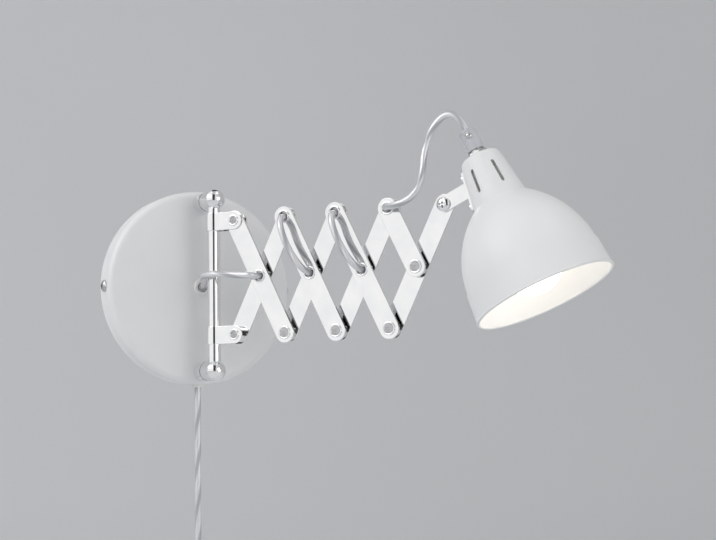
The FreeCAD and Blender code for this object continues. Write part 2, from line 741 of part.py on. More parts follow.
# From the plate's hole, past the left of the rod, along the arm's front and into the first crossing's eyelet.
crossing = pivot(1, 1)
lamp_cord_points = [Vector(0, face_y, 0), Vector(-1.5, -30.0, 2.2), Vector(-9.6, -42.0, 6.3),
                    Vector(-7.0, -54.3, 7.3)]
lamp_cord_points += in_frame(ARM, (16.0, -11.0, 6.4), (29.0, -11.3, 5.2), (crossing.x, -bulge, crossing.z), crossing)
cord("lamp_cord_start", lamp_cord_points)

# Behind each back link from its crossing up to the upper row, then down the front of the next front link.
for number in (1, 2, 3):
    cord("back_link_%d_cord" % number, in_frame(
        back_place(number), (half_pitch, 0, 0), (half_pitch, bulge, 0), (71.0, 13.6, 3.4),
        (2 * half_pitch, bulge, 0), (2 * half_pitch, 0, 0)))
for number in (2, 3):
    cord("front_link_%d_cord" % number, in_frame(
        front_place(number), (0, 0, 0), (0, -bulge, 0), (23.0, -13.8, -3.6),
        (half_pitch, -bulge, 0), (half_pitch, 0, 0)))


# ------------------------------------------------------------------------------------------ head joint
neck_z = size("shade_height")
hinge_z = neck_z - size("head_drop")
neck_foot_z = neck_z - size("neck_height")
neck_taper = (size("neck_foot_radius") - size("neck_top_radius")) / size("neck_height")
neck_lean = math.atan(neck_taper)
tongue_y = half_gap - size("running_gap") - size("tongue_sheet") / 2
hinge = pivot(0, 4)
tilt = Rotation(Vector(0, 1, 0), -size("shade_tilt"))
# The head's frame: Z up the shade's axis from the middle of its mouth, X away from the arm, Y as the arm's.
HEAD = ARM.multiply(Placement(Vector(hinge.x, tongue_y, hinge.z)
                              - tilt.multVec(Vector(-size("head_reach"), 0, hinge_z)), tilt))


def neck_radius(z):
    return size("neck_foot_radius") - neck_taper * (z - neck_foot_z)


def head_bracket():
    """A strip bent to the neck and riveted to it, with a flat tongue that ends in the hinge."""
    inner = size("seat_gap") / math.cos(neck_lean)
    outer = inner + size("strip_sheet") / math.cos(neck_lean)
    low = hinge_z - size("strip_drop") - size("strip_length") / 2
    high = low + size("strip_length")
    band = turned((neck_radius(low) + inner, low), (neck_radius(low) + outer, low),
                  (neck_radius(high) + outer, high), (neck_radius(high) + inner, high))
    wide, thick = size("strip_width"), size("tongue_sheet")
    strip = band.common(Part.makeBox(neck_z, wide, neck_z, Vector(-neck_z, -wide / 2, 0)))
    reach, half = size("head_reach"), size("tongue_width") / 2
    tongue = Part.makeBox(reach, thick, 2 * half, Vector(-reach, -thick / 2, hinge_z - half))
    tongue = tongue.fuse(Part.makeCylinder(half, thick, Vector(-reach, -thick / 2, hinge_z), Vector(0, 1, 0)))
    core = turned((0, 0), (neck_radius(0) + inner, 0), (neck_radius(neck_z) + inner, neck_z), (0, neck_z))
    tongue = tongue.cut(core)
    for place in strip_rivet_places():
        relief = Part.makeCylinder(size("strip_rivet_head") / 2 + size("running_gap"), reach)
        relief.Placement = place.multiply(at(0, 0, size("strip_sheet") + size("seat_gap")))
        tongue = tongue.cut(relief)
    joined = shaped(tongue.fuse(strip).removeSplitter())
    screw_hole = cylinder("sizes.head_screw_thread + 2 * sizes.running_fit", "2 * sizes.head_reach",
                          at(-reach, reach, hinge_z, OUT))
    return cut(joined, screw_hole, *strip_rivet_holes())


def strip_rivet_places():
    """Where the two rivets cross the neck's outer face, each with its Z pointing out of it."""
    middle = hinge_z - size("strip_drop")
    outward = Rotation(Vector(0, 0, 1), Vector(-math.cos(neck_lean), 0, math.sin(neck_lean)))
    heights = [middle + side * size("strip_rivet_spacing") / 2 for side in (1, -1)]
    return [at(-neck_radius(z), 0, z, outward) for z in heights]


def strip_rivet_holes():
    return [cylinder("sizes.strip_rivet + 2 * sizes.running_fit", "sizes.neck_top_radius",
                     place.multiply(at(0, 0, -size("neck_top_radius") / 2))) for place in strip_rivet_places()]


def strip_rivets():
    """Rivets with a flat head on the strip and one inside the neck, where the rim of the head meets the curve."""
    rivets = []
    radius = size("strip_rivet_head") / 2
    for place in strip_rivet_places():
        hollow = neck_radius(place.Base.z) - size("shade_wall")
        outside = size("strip_sheet") + 2 * size("seat_gap")
        inside = -size("shade_wall") - size("seat_gap") - hollow + math.sqrt(hollow ** 2 - radius ** 2)
        crown = size("strip_rivet_crown")
        solid = Part.makeCylinder(size("strip_rivet") / 2, outside - inside, Vector(0, 0, inside))
        solid = solid.fuse(Part.makeCylinder(radius, crown, Vector(0, 0, outside)))
        solid = solid.fuse(Part.makeCylinder(radius, crown, Vector(0, 0, inside - crown)))
        rivets.append(shaped(solid.removeSplitter(), place))
    return group(*rivets)


finish("head_bracket", head_bracket(), HEAD)
finish("bracket_rivets", strip_rivets(), HEAD)

head_seat = tongue_y - size("tongue_sheet") / 2 - size("running_gap")
screw_axis = at(hinge.x, head_seat, hinge.z, OUT)
screw_end = link_back + 1.2 * size("head_nut_height")
shank = cylinder("sizes.head_screw_thread", "sizes.tongue_sheet + 2 * sizes.running_gap + sizes.link_sheet"
                 " + 1.2 * sizes.head_nut_height", at(hinge.x, screw_end, hinge.z, OUT))
finish("head_screw", fuse(shaped(pan_head(size("head_screw_head"), size("head_screw_crown")), screw_axis), shank), ARM)
nut_place = at(hinge.x, link_back + size("head_nut_height"), hinge.z, OUT)
finish("head_nut", cut(nut("sizes.head_nut_width", "sizes.head_nut_height", nut_place),
                       cylinder("sizes.head_screw_thread + 2 * sizes.running_fit", "2 * sizes.head_nut_height",
                                nut_place)), ARM)


# ------------------------------------------------------------------------------------------ shade
def shade():
    """A bell of sheet metal: rolled rim, skirt, small step, round shoulder and a tapered neck with vents."""
    wall, bead = size("shade_wall"), size("rim_bead")
    step_z, shoulder_z = size("skirt_height"), size("shoulder_height")
    turn = math.pi / 4 - neck_lean / 2
    rounding = size("neck_rounding")
    set_back = rounding * math.tan(turn)
    top = size("neck_top_radius")
    side_end = (top + set_back * math.sin(neck_lean), neck_z - set_back * math.cos(neck_lean))
    top_end = (top - set_back, neck_z)
    centre = Vector(top_end[0], 0, neck_z - rounding)
    middle = centre + unit(Vector(top, 0, neck_z) - centre) * rounding
    solid = turned((0, bead), (size("mouth_radius") - bead + wall / 2, bead), (size("skirt_radius"), step_z),
                   (size("skirt_radius") - size("step_width"), step_z),
                   ((size("shoulder_radius"), shoulder_z), (size("neck_foot_radius"), neck_foot_z)),
                   side_end, ((middle.x, middle.z), top_end), (0, neck_z))
    mouth = [face for face in solid.Faces if face.BoundBox.ZMax < 2 * bead]
    shell = solid.makeThickness(mouth, -wall, 0.001, False, False, 0, 2)
    rim = Part.makeTorus(size("mouth_radius") - bead, bead, Vector(0, 0, bead))
    nipple_hole = cylinder("sizes.nipple_diameter + 2 * sizes.running_fit", "sizes.shade_height",
                           at(0, 0, neck_z / 2))
    return cut(shaped(shell.fuse(rim)), nipple_hole, *(vents() + strip_rivet_holes()))


def vents():
    """Upright slots with round ends, set round the neck."""
    slots = []
    half = size("vent_width") / 2
    top = neck_z - size("vent_drop")
    for number in range(int(size("vent_count"))):
        turn = Rotation(Vector(0, 0, 1), size("vent_start") - 90 + number * size("vent_step"))
        slot = Part.makeBox(neck_z, 2 * half, size("vent_length") - 2 * half,
                            Vector(0, -half, top - size("vent_length") + half))
        for z in (top - half, top - size("vent_length") + half):
            slot = slot.fuse(Part.makeCylinder(half, neck_z, Vector(0, 0, z), Vector(1, 0, 0)))
        slots.append(shaped(slot, Placement(Vector(), turn)))
    return slots


finish("shade", shade(), HEAD)


# ------------------------------------------------------------------------------------------ lamp holder and bulb
holder_top = neck_z - size("holder_drop")
holder_low = holder_top - size("holder_height")
bulb_top = size("bulb_inset") + size("bulb_length")
cap_top = bulb_top - size("bulb_contact")
cap_low = size("bulb_inset") + size("bulb_diameter") + size("bulb_neck_length")
NIPPLE_HOLE = "sizes.nipple_diameter + 2 * sizes.running_fit"


def lamp_holder():
    radius, chamfer = size("holder_diameter") / 2, size("holder_chamfer")
    body = turned((0, holder_low), (radius, holder_low), (radius, holder_top - chamfer),
                  (radius - chamfer, holder_top), (0, holder_top))
    bore = cylinder("sizes.holder_bore", "sizes.bulb_length", at(0, 0, bulb_top + size("seat_gap") - size("bulb_length")))
    return cut(shaped(body), bore, cylinder(NIPPLE_HOLE, "sizes.holder_height",
                                            at(0, 0, holder_top - size("nipple_hold"))))


def ball_and_neck(ball, neck):
    """The solid that a ball and the cone from it to the cap make, for an outer or an inner face of the glass."""
    centre = size("bulb_inset") + size("bulb_diameter") / 2
    reach = math.hypot(neck, cap_low - centre)
    touch = math.atan2(neck, cap_low - centre) + math.acos(ball / reach)
    half_way = (touch + math.pi) / 2
    return turned((0, centre - ball),
                  ((ball * math.sin(half_way), centre + ball * math.cos(half_way)),
                   (ball * math.sin(touch), centre + ball * math.cos(touch))),
                  (neck, cap_low), (0, cap_low))


def bulb_glass():
    """A hollow ball of glass, its neck running tangent from the ball to the cap, which closes it."""
    ball, neck, wall = size("bulb_diameter") / 2, size("bulb_neck_diameter") / 2, size("bulb_wall")
    return ball_and_neck(ball, neck).cut(ball_and_neck(ball - wall, neck - wall))


def bulb_cap():
    radius, contact = size("bulb_cap_diameter") / 2, size("bulb_contact")
    return turned((0, cap_low), (radius, cap_low), (radius, cap_top - contact / 2),
                  (radius - contact / 2, cap_top), (contact, cap_top), (contact / 2, bulb_top), (0, bulb_top))


finish("lamp_holder", lamp_holder(), HEAD)
finish("bulb_glass", shaped(bulb_glass()), HEAD)
finish("bulb_cap", shaped(bulb_cap()), HEAD)

nipple_low = holder_top - size("nipple_hold") + size("seat_gap")
grip_low = neck_z + size("grip_lift")
grip_top = grip_low + size("grip_height")
nipple_top = grip_low + size("nipple_hold") - size("seat_gap")
nipple = shaped(Part.makeCylinder(size("nipple_diameter") / 2, nipple_top - nipple_low, Vector(0, 0, nipple_low)))
finish("nipple", cut(nipple, cylinder("sizes.nipple_bore", "2 * sizes.shade_height", at(0, 0, 0))), HEAD)

nuts = []
for low in (neck_z, neck_z - size("shade_wall") - size("nipple_nut_height")):
    nuts.append(cut(nut("sizes.nipple_nut_width", "sizes.nipple_nut_height", at(0, 0, low)),
                    cylinder(NIPPLE_HOLE, "2 * sizes.nipple_nut_height", at(0, 0, low - size("nipple_nut_height") / 2))))
finish("nipple_nuts", group(*nuts), HEAD)


def cord_grip():
    """A turned knob on the nipple that holds the cord, with a spot face for its screw."""
    radius, chamfer = size("grip_diameter") / 2, size("grip_chamfer")
    body = turned((0, grip_low), (radius, grip_low), (radius, grip_top - chamfer), (radius - chamfer, grip_top),
                  (0, grip_top))
    spot = cylinder("sizes.grip_screw_head + 2 * sizes.running_fit", "sizes.grip_diameter", grip_screw_place)
    thread = cylinder("sizes.grip_screw_thread + 2 * sizes.running_fit", "sizes.grip_screw_length + sizes.seat_gap",
                      grip_screw_place.multiply(at(0, 0, -size("grip_screw_length") - size("seat_gap"))))
    return cut(shaped(body), cylinder(NIPPLE_HOLE, "sizes.grip_height", at(0, 0, grip_low + size("nipple_hold")
                                                                          - size("grip_height"))), spot, thread)


side = Rotation(Vector(0, 0, 1), size("grip_screw_turn")).multiply(ACROSS)
spot_depth = math.sqrt(size("grip_diameter") ** 2 - (size("grip_screw_head") + 2 * size("running_fit")) ** 2) / 2
screw_height = (grip_low + size("nipple_hold") + grip_top) / 2
grip_screw_place = at(0, 0, screw_height, side).multiply(at(0, 0, spot_depth))
finish("cord_grip", cord_grip(), HEAD)
screw = fuse(shaped(pan_head(size("grip_screw_head"), size("grip_screw_crown"))),
             cylinder("sizes.grip_screw_thread", "sizes.grip_screw_length", at(0, 0, -size("grip_screw_length"))))
screw.Placement = grip_screw_place
finish("grip_screw", screw, HEAD)

# From the last upper eyelet in a high arch over the head's joint, down the shade's axis into the grip.
start = pivot(0, 3)
up_axis = [ARM.inverse().multVec(HEAD.multVec(Vector(0, 0, grip_top + lift))) for lift in (10.0, 0.0)]
cord("lamp_cord_arch", in_frame(
    ARM, start, (start.x, -bulge, start.z), (start.x + 11.7, -12.2, start.z + 0.1),
    (start.x + 23.7, -9.5, start.z + 5.9), (start.x + 29.7, -7.0, start.z + 19.9),
    (start.x + 29.7, -4.0, start.z + 38.4), (start.x + 35.4, -2.0, start.z + 54.9),
    (start.x + 46.2, -0.3, start.z + 65.4), *up_axis))


# ------------------------------------------------------------------------------------------ mains cord
drop_top = -plate_radius - size("bushing_flange") / 2
switch_top = drop_top - size("drop_length")
switch_low = switch_top - size("switch_length")
coil_z = switch_low - size("coil_lead")
plug_top = coil_z - size("coil_tail")
plug_low = plug_top - size("plug_length")
outer_layer_y = mains_y - size("coil_pitch")
straight_end = size("cord_diameter")                 # the coil's ends run straight this far

# Inside the plate: the lamp's cord comes in through the grommet to the terminal block, the mains cord rises to it.
block_near = size("terminal_place")
block_middle = block_near + size("terminal_length") / 2
block_y = -size("bracket_sheet") - size("terminal_depth") / 2
plate_exit = lamp_cord_points[0]
lamp_lead = [plate_exit, plate_exit + unit(plate_exit - lamp_cord_points[1]) * 9.7,
             Vector(block_near - 9.5, block_y, 0), Vector(block_near, block_y, 0)]
mains_lead = [Vector(0, mains_y, drop_top), Vector(0, mains_y, -41.0), Vector(14.0, -9.0, -28.0),
              Vector(block_middle, block_y, -18.0), Vector(block_middle, block_y, -size("terminal_height") / 2)]
finish("inner_leads", group(*(shaped(tube("inner_leads", cord_wire("inner_leads", points)))
                              for points in (lamp_lead, mains_lead))))

straight_cord("mains_cord_drop", Vector(0, mains_y, drop_top), Vector(0, mains_y, switch_top))
straight_cord("mains_cord_middle", Vector(0, mains_y, switch_low), Vector(0, mains_y, coil_z + straight_end))
straight_cord("mains_cord_tail", Vector(0, outer_layer_y, coil_z - straight_end),
              Vector(0, outer_layer_y, plug_top))


def quarter(start, along, inward, radius):
    """A quarter turn from a point, with its end."""
    end = start + along * radius + inward * radius
    middle = start + along * (radius * math.sqrt(0.5)) + inward * (radius * (1 - math.sqrt(0.5)))
    return Part.Arc(start, middle, end).toShape(), end


def arc_between(start, along, end):
    """The arc that leaves a point in a given direction and ends at another."""
    chord = end - start
    half_turn = along.getAngle(chord)
    outward = unit(along - unit(chord) * along.dot(unit(chord)))
    middle = start + chord * 0.5 + outward * (chord.Length / 2 * math.tan(half_turn / 2))
    return Part.Arc(start, middle, end).toShape()


def coil_wire():
    """Down into the back layer, spirals in, climbs a layer in the half turn at the middle, and spirals out again."""
    step = size("coil_pitch") / 4
    quarters = int(4 * size("coil_turns")) - 1
    down, left, up, right = Vector(0, 0, -1), Vector(-1, 0, 0), Vector(0, 0, 1), Vector(1, 0, 0)
    ways = [(down, left), (left, up), (up, right), (right, down)]
    here = Vector(0, mains_y, coil_z)
    edges = [Part.LineSegment(here + up * straight_end, here).toShape()]
    for number in range(quarters):
        along, inward = ways[number % 4]
        edge, here = quarter(here, along, inward, size("coil_radius") - number * step)
        edges.append(edge)
    back_layer = list(edges)
    # The front layer is the back one, mirrored upside down and run the other way.
    lift = Vector(0, outer_layer_y - mains_y, 0)
    mirrored = Vector(here.x, here.y, 2 * coil_z - here.z) + lift
    across = mirrored - here
    crest = here + across * 0.5 + right * (across.Length / 2)
    edges += [arc_between(here, right, crest), arc_between(crest, unit(across), mirrored)]
    flip = FreeCAD.Matrix()
    flip.A33, flip.A34 = -1, 2 * coil_z
    flip.A24 = lift.y
    for edge in reversed(back_layer):
        ends = [flip.multiply(edge.valueAt(edge.LastParameter)),
                flip.multiply(edge.valueAt((edge.FirstParameter + edge.LastParameter) / 2)),
                flip.multiply(edge.valueAt(edge.FirstParameter))]
        if edge is back_layer[0]:
            edges.append(Part.LineSegment(ends[0], ends[2]).toShape())
        else:
            edges.append(Part.Arc(*ends).toShape())
    return Part.Wire(edges)


def least_gap(wire):
    """The least distance between two stretches of a tube that aren't the same bend, measured on points."""
    points = wire.discretize(Number=int(wire.Length / 2))
    apart = int(3 * size("cord_diameter") / 2)
    near = min(first.distanceToPoint(second) for number, first in enumerate(points)
               for second in points[number + apart:])
    return near - size("cord_diameter")


wire = coil_wire()
print("mains_cord_coil: least gap to itself %.2f mm" % least_gap(wire))
finish("mains_cord_coil", shaped(tube("mains_cord_coil", wire)))


def coil_tie():
    """A flat band round the coil's left side, with round corners."""
    clear = cord_radius + size("tie_gap")
    half = size("tie_width") / 2
    step = size("coil_pitch") / 4
    turns = int(size("coil_turns"))
    far = 2 * size("coil_radius") - step                         # from the entry to the outermost left point
    near = far - (turns - 1) * size("coil_pitch")                # and to the innermost one
    small = size("coil_radius") - (4 * turns - 1) * step
    sag = small - math.sqrt(small ** 2 - (half + step) ** 2)     # the inner turn bends away within the band
    left, right = -far - clear, -near + clear + sag
    back, front = mains_y + clear, outer_layer_y - clear
    tie_wall = size("tie_sheet")
    outside = Part.makeBox(right - left + 2 * tie_wall, back - front + 2 * tie_wall, 2 * half,
                           Vector(left - tie_wall, front - tie_wall, coil_z - half))
    inside = Part.makeBox(right - left, back - front, 4 * half, Vector(left, front, coil_z - 2 * half))

    def rounded(shape, radius):
        upright = [edge for edge in shape.Edges if edge.BoundBox.ZLength > half]
        return shape.makeFillet(radius, upright)

    return rounded(outside, cord_radius + tie_wall).cut(rounded(inside, cord_radius))


finish("coil_tie", shaped(coil_tie()))


# ------------------------------------------------------------------------------------------ switch on the cord
# The switch's frame: X is the lamp's X, Y is up, Z points away from the wall; the cord runs through its middle.
SWITCH = at(0, mains_y, (switch_top + switch_low) / 2, OUT)
half_depth = size("switch_depth") / 2
pin_z = half_depth - size("rocker_place")
swing = size("rocker_length") / 2
foot = size("rocker_depth") - size("rocker_place")


def switch_half(side):
    """One moulded half, its outer edges rounded."""
    body = Part.makeBox(size("switch_width"), size("switch_length"), half_depth,
                        Vector(-size("switch_width") / 2, -size("switch_length") / 2, min(0, side * half_depth)))
    outer = [edge for edge in body.Edges
             if abs(side * edge.CenterOfMass.z - half_depth) < 0.01 or edge.BoundBox.ZLength > half_depth / 2]
    return shaped(body.makeFillet(size("switch_edge"), outer))


def rocker_pocket():
    """The room that the rocker needs in both halves, from its lowest reach to above the cover."""
    tip = math.radians(size("rocker_tip"))
    low = math.sqrt(swing ** 2 - foot ** 2) * math.sin(tip) + foot * math.cos(tip) + size("running_gap")
    half_long, half_wide = swing + size("rocker_end_gap"), size("rocker_width") / 2 + size("running_gap")
    return shaped(Part.makeBox(2 * half_wide, 2 * half_long, low + 2 * half_depth,
                               Vector(-half_wide, -half_long, pin_z - low)))


def switch_rocker():
    """The rocker on its pins, its two faces meeting in a shallow V, tipped to its first stop."""
    tip = math.radians(size("rocker_tip"))
    wide = size("rocker_width")
    crown = size("rocker_place") + size("rocker_end_gap")
    disc = Part.makeCylinder(swing, wide, Vector(-wide / 2, 0, 0), Vector(1, 0, 0))
    edge = crown + 2 * swing * math.tan(tip)
    points = [Vector(-wide / 2, y, z) for y, z in ((-2 * swing, -foot), (2 * swing, -foot), (2 * swing, edge),
                                                   (0, crown), (-2 * swing, edge), (-2 * swing, -foot))]
    body = disc.common(Part.Face(Part.makePolygon(points)).extrude(Vector(wide, 0, 0)))
    long = wide + 2 * size("switch_wall")
    pins = Part.makeCylinder(size("rocker_pin") / 2, long, Vector(-long / 2, 0, 0), Vector(1, 0, 0))
    return shaped(body.fuse(pins).removeSplitter(),
                  at(0, 0, pin_z, Rotation(Vector(1, 0, 0), -size("rocker_tip"))))


pin_hole = cylinder("sizes.rocker_pin + 2 * sizes.running_fit",
                    "sizes.rocker_width + 2 * (sizes.switch_wall + sizes.running_gap)",
                    at(-size("rocker_width") / 2 - size("switch_wall") - size("running_gap"), 0, pin_z, ACROSS))
finish("switch_base", cut(switch_half(-1), rocker_pocket()), SWITCH)
finish("switch_cover", cut(switch_half(1), rocker_pocket(), pin_hole), SWITCH)
finish("switch_rocker", switch_rocker(), SWITCH)


# ------------------------------------------------------------------------------------------ plug
# The plug's frame: X is the lamp's X, Z points down out of the plug's face.
PLUG = at(0, outer_layer_y, plug_low, DOWN)


def plug_body():
    """A flat moulded plug, narrower where the cord enters."""
    length, width, depth = size("plug_length"), size("plug_width"), size("plug_depth")
    body = Part.makeBox(width, depth, length, Vector(-width / 2, -depth / 2, -length))
    shoulder = [edge for edge in body.Edges
                if edge.BoundBox.YLength > depth / 2 and edge.CenterOfMass.z < -length / 2]
    body = body.makeChamfer(width / 4, shoulder)
    upright = [edge for edge in body.Edges if edge.BoundBox.YLength < 0.01]
    body = shaped(body.makeFillet(size("plug_edge"), [edge for edge in upright if edge.BoundBox.ZLength > width / 8]))
    holes = [cylinder("sizes.pin_diameter + 2 * sizes.running_fit", "sizes.pin_root + sizes.pin_length",
                      at(side * size("pin_spacing") / 2, 0, -size("pin_root"))) for side in (1, -1)]
    return cut(body, *holes)


def plug_pins():
    pins = []
    for side in (1, -1):
        bar = cylinder("sizes.pin_diameter", "sizes.pin_root + sizes.pin_length - sizes.pin_diameter / 2",
                       at(side * size("pin_spacing") / 2, 0, -size("pin_root")))
        tip = document.addObject("Part::Sphere", "pin_tip")
        tip.setExpression("Radius", "sizes.pin_diameter / 2")
        tip.Placement = at(side * size("pin_spacing") / 2, 0, size("pin_length") - size("pin_diameter") / 2)
        pins.append(fuse(bar, tip))
    return group(*pins)


finish("plug_body", plug_body(), PLUG)
finish("plug_pins", plug_pins(), PLUG)


document.recompute()
for thing in document.Objects:
    if {"Invalid", "Error"} & set(thing.State):
        raise RuntimeError("%s did not compute: %s" % (thing.Label, thing.State))
os.makedirs("parts", exist_ok=True)
for thing in finished:
    shape = thing.Shape
    if shape.isNull() or not shape.isValid() or not shape.Solids:
        raise RuntimeError("%s has no valid solid" % thing.Label)
    shape.exportStep("parts/%s.step" % thing.Label)
print("%d sub-parts written" % len(finished))
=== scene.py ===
# %% [markdown]
# # A wall lamp on a scissor arm
# The real lamp is a round white wall plate with two chromed posts, a chromed rod between them, an arm
# of crossed flat links that pulls out like a lattice, and a white bell shade with a lit bulb. The frame
# that is loaded here already holds every rigid piece at its real size. The lesson dresses it: it lays
# the cords, softens the sharp edges of the metal, rolls the eyelets and gives every surface its finish.

# %% Load the frame
import json
import math
import bmesh
import bpy
import numpy as np
from mathutils import Matrix, Vector

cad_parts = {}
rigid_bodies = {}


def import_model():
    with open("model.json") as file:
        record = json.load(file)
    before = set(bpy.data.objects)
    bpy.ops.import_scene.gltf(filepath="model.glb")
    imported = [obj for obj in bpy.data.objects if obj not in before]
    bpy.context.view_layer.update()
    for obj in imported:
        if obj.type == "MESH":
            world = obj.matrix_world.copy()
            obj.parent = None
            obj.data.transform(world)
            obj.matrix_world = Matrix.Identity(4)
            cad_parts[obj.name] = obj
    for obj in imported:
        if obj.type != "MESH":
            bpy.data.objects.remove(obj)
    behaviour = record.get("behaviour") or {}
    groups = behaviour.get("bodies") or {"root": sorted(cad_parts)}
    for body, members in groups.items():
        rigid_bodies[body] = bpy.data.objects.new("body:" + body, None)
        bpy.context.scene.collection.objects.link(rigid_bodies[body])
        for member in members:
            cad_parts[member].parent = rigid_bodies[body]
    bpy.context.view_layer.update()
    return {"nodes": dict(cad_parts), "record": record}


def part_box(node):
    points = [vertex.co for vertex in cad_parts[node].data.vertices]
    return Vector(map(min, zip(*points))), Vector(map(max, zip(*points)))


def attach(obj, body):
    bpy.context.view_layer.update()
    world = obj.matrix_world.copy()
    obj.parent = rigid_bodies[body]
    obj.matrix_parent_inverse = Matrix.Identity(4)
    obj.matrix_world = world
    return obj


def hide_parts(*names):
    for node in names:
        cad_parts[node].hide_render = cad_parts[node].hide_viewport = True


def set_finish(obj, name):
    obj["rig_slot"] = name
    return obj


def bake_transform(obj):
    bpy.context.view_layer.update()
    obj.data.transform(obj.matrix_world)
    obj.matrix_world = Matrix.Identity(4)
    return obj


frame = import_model()
nodes = frame["nodes"]
bodies = frame["record"]["behaviour"]["bodies"]
MM = 0.001
body_of = {node: body for body, held in bodies.items() for node in held}
slot_of = {part["node"]: part["material_slot"] for part in frame["record"]["subparts"]}

# %% [markdown]
# ## The camera
# A photograph of a product is taken from some way off with a long lens, so the lamp's lines hardly
# converge. The camera stands low and to the left, looks slightly up, and is rolled by less than a
# degree. It could be aimed by eye, but its axes come from those three angles, which keeps them easy to
# read and to change.

# %% Camera
AZIMUTH, ELEVATION, ROLL = (math.radians(angle) for angle in (-28.5, -5.26, -0.83))
CAMERA_PLACE = Vector((-433.71, -1071.23, -92.42)) * MM
FOCAL_PIXELS, PICTURE_WIDTH = 1467.85, 716


def in_scene(name, data):
    """An object of that data, linked to the scene."""
    thing = bpy.data.objects.new(name, data)
    bpy.context.scene.collection.objects.link(thing)
    return thing


back = Vector((math.sin(AZIMUTH) * math.cos(ELEVATION),
               -math.cos(AZIMUTH) * math.cos(ELEVATION),
               math.sin(ELEVATION)))
level_right = Vector((math.cos(AZIMUTH), math.sin(AZIMUTH), 0))
level_up = back.cross(level_right)
right = math.cos(ROLL) * level_right + math.sin(ROLL) * level_up
up = math.cos(ROLL) * level_up - math.sin(ROLL) * level_right
camera = in_scene("camera", bpy.data.cameras.new("camera"))
camera.data.sensor_width = 36.0
camera.data.lens = FOCAL_PIXELS * camera.data.sensor_width / PICTURE_WIDTH
camera.matrix_world = Matrix.Translation(CAMERA_PLACE) @ Matrix((right, up, back)).transposed().to_4x4()
bpy.context.scene.camera = camera
print("lens, mm:", round(camera.data.lens, 2))

# %% [markdown]
# ## Where things are on the arm
# The arm swings round the rod, so its pieces are easiest to place in the arm's own directions: along
# it, behind it and up. The links are hinged in three level rows, upper, middle and low. Every place
# could be typed as a point of the room, but these few numbers, which repeat the frame's own, say how
# the arm is built.

# %% The arm's directions and pivots
ARM_YAW, LINK_LEAN = math.radians(35.0), math.radians(26.3)
ROD_AXIS = np.array([0.0, -43.3, 0.0])
ARM_AXES = np.array([[math.sin(ARM_YAW), -math.cos(ARM_YAW), 0.0],
                     [math.cos(ARM_YAW), math.sin(ARM_YAW), 0.0],
                     [0.0, 0.0, 1.0]])
CLAMP_REACH, UPPER_ROW = 20.2, 47.6
LINK = 96.0
HALF_LINK = LINK / 2


def pivot(row, number):
    """A pivot in the arm's frame, mm: rows 0, 1, 2 from the top, numbers from the rod outwards.

    The outer rows' numbers start at 0 and the middle row's at 1. Each step outwards is half a link times
    sin(lean), and each row is half a link times cos(lean) lower.
    """
    steps = 2 * number - row % 2
    return np.array([CLAMP_REACH + steps * HALF_LINK * math.sin(LINK_LEAN), 0.0,
                     UPPER_ROW - row * HALF_LINK * math.cos(LINK_LEAN)])


def on_arm(points):
    """Arm coordinates (along, behind, up), mm, become the lamp's, m: rod axis + points times the axes."""
    return (ROD_AXIS + np.asarray(points, float) @ ARM_AXES) * MM


def on_link(layer, number, points):
    """Points of a link (along it, behind it, beside it), mm, become the lamp's, in metres.

    They start at the link's first pivot. Its length slopes by 90 degrees less the lean, down in the front
    layer and up in the back layer.
    """
    side = 1.0 if layer == "front" else -1.0
    start = pivot(0 if layer == "front" else 2, number - 1)
    slope = math.pi / 2 - LINK_LEAN
    axes = np.array([[math.cos(slope), 0, -side * math.sin(slope)],
                     [0, 1, 0],
                     [side * math.sin(slope), 0, math.cos(slope)]])
    return on_arm(start + np.asarray(points, float) @ axes)


TILT = math.radians(24.9)
HEAD_REACH, HEAD_RISE, TONGUE_BEHIND = 38.0, 93.0, 0.6
HEAD_AXES = np.array([[math.cos(TILT), 0, math.sin(TILT)],
                      [0, 1, 0],
                      [-math.sin(TILT), 0, math.cos(TILT)]])
MOUTH = pivot(0, 4) + [0, TONGUE_BEHIND, 0] + HEAD_REACH * HEAD_AXES[0] - HEAD_RISE * HEAD_AXES[2]


def on_head(points):
    """Points of the head (outward, behind, up from the shade's mouth), mm, become the lamp's, in metres."""
    return on_arm(MOUTH + np.asarray(points, float) @ HEAD_AXES)


print("upper pivots along the arm, mm:", [round(float(pivot(0, k)[0]), 1) for k in range(5)])
print("shade's mouth, m:", on_head([[0, 0, 0]]).round(4).tolist())

# %% [markdown]
# ## Surfaces from arrays
# Most new pieces are a grid of points: rows along the piece, columns round it. Such a piece could be
# extruded by hand, ring after ring. One helper does it for all of them instead: it joins neighbouring
# points into quads, closes each end with a single many-sided face, and turns the faces outwards if the
# volume that they enclose comes out negative.

# %% Grid to mesh
SHARP_ANGLE = math.radians(40)


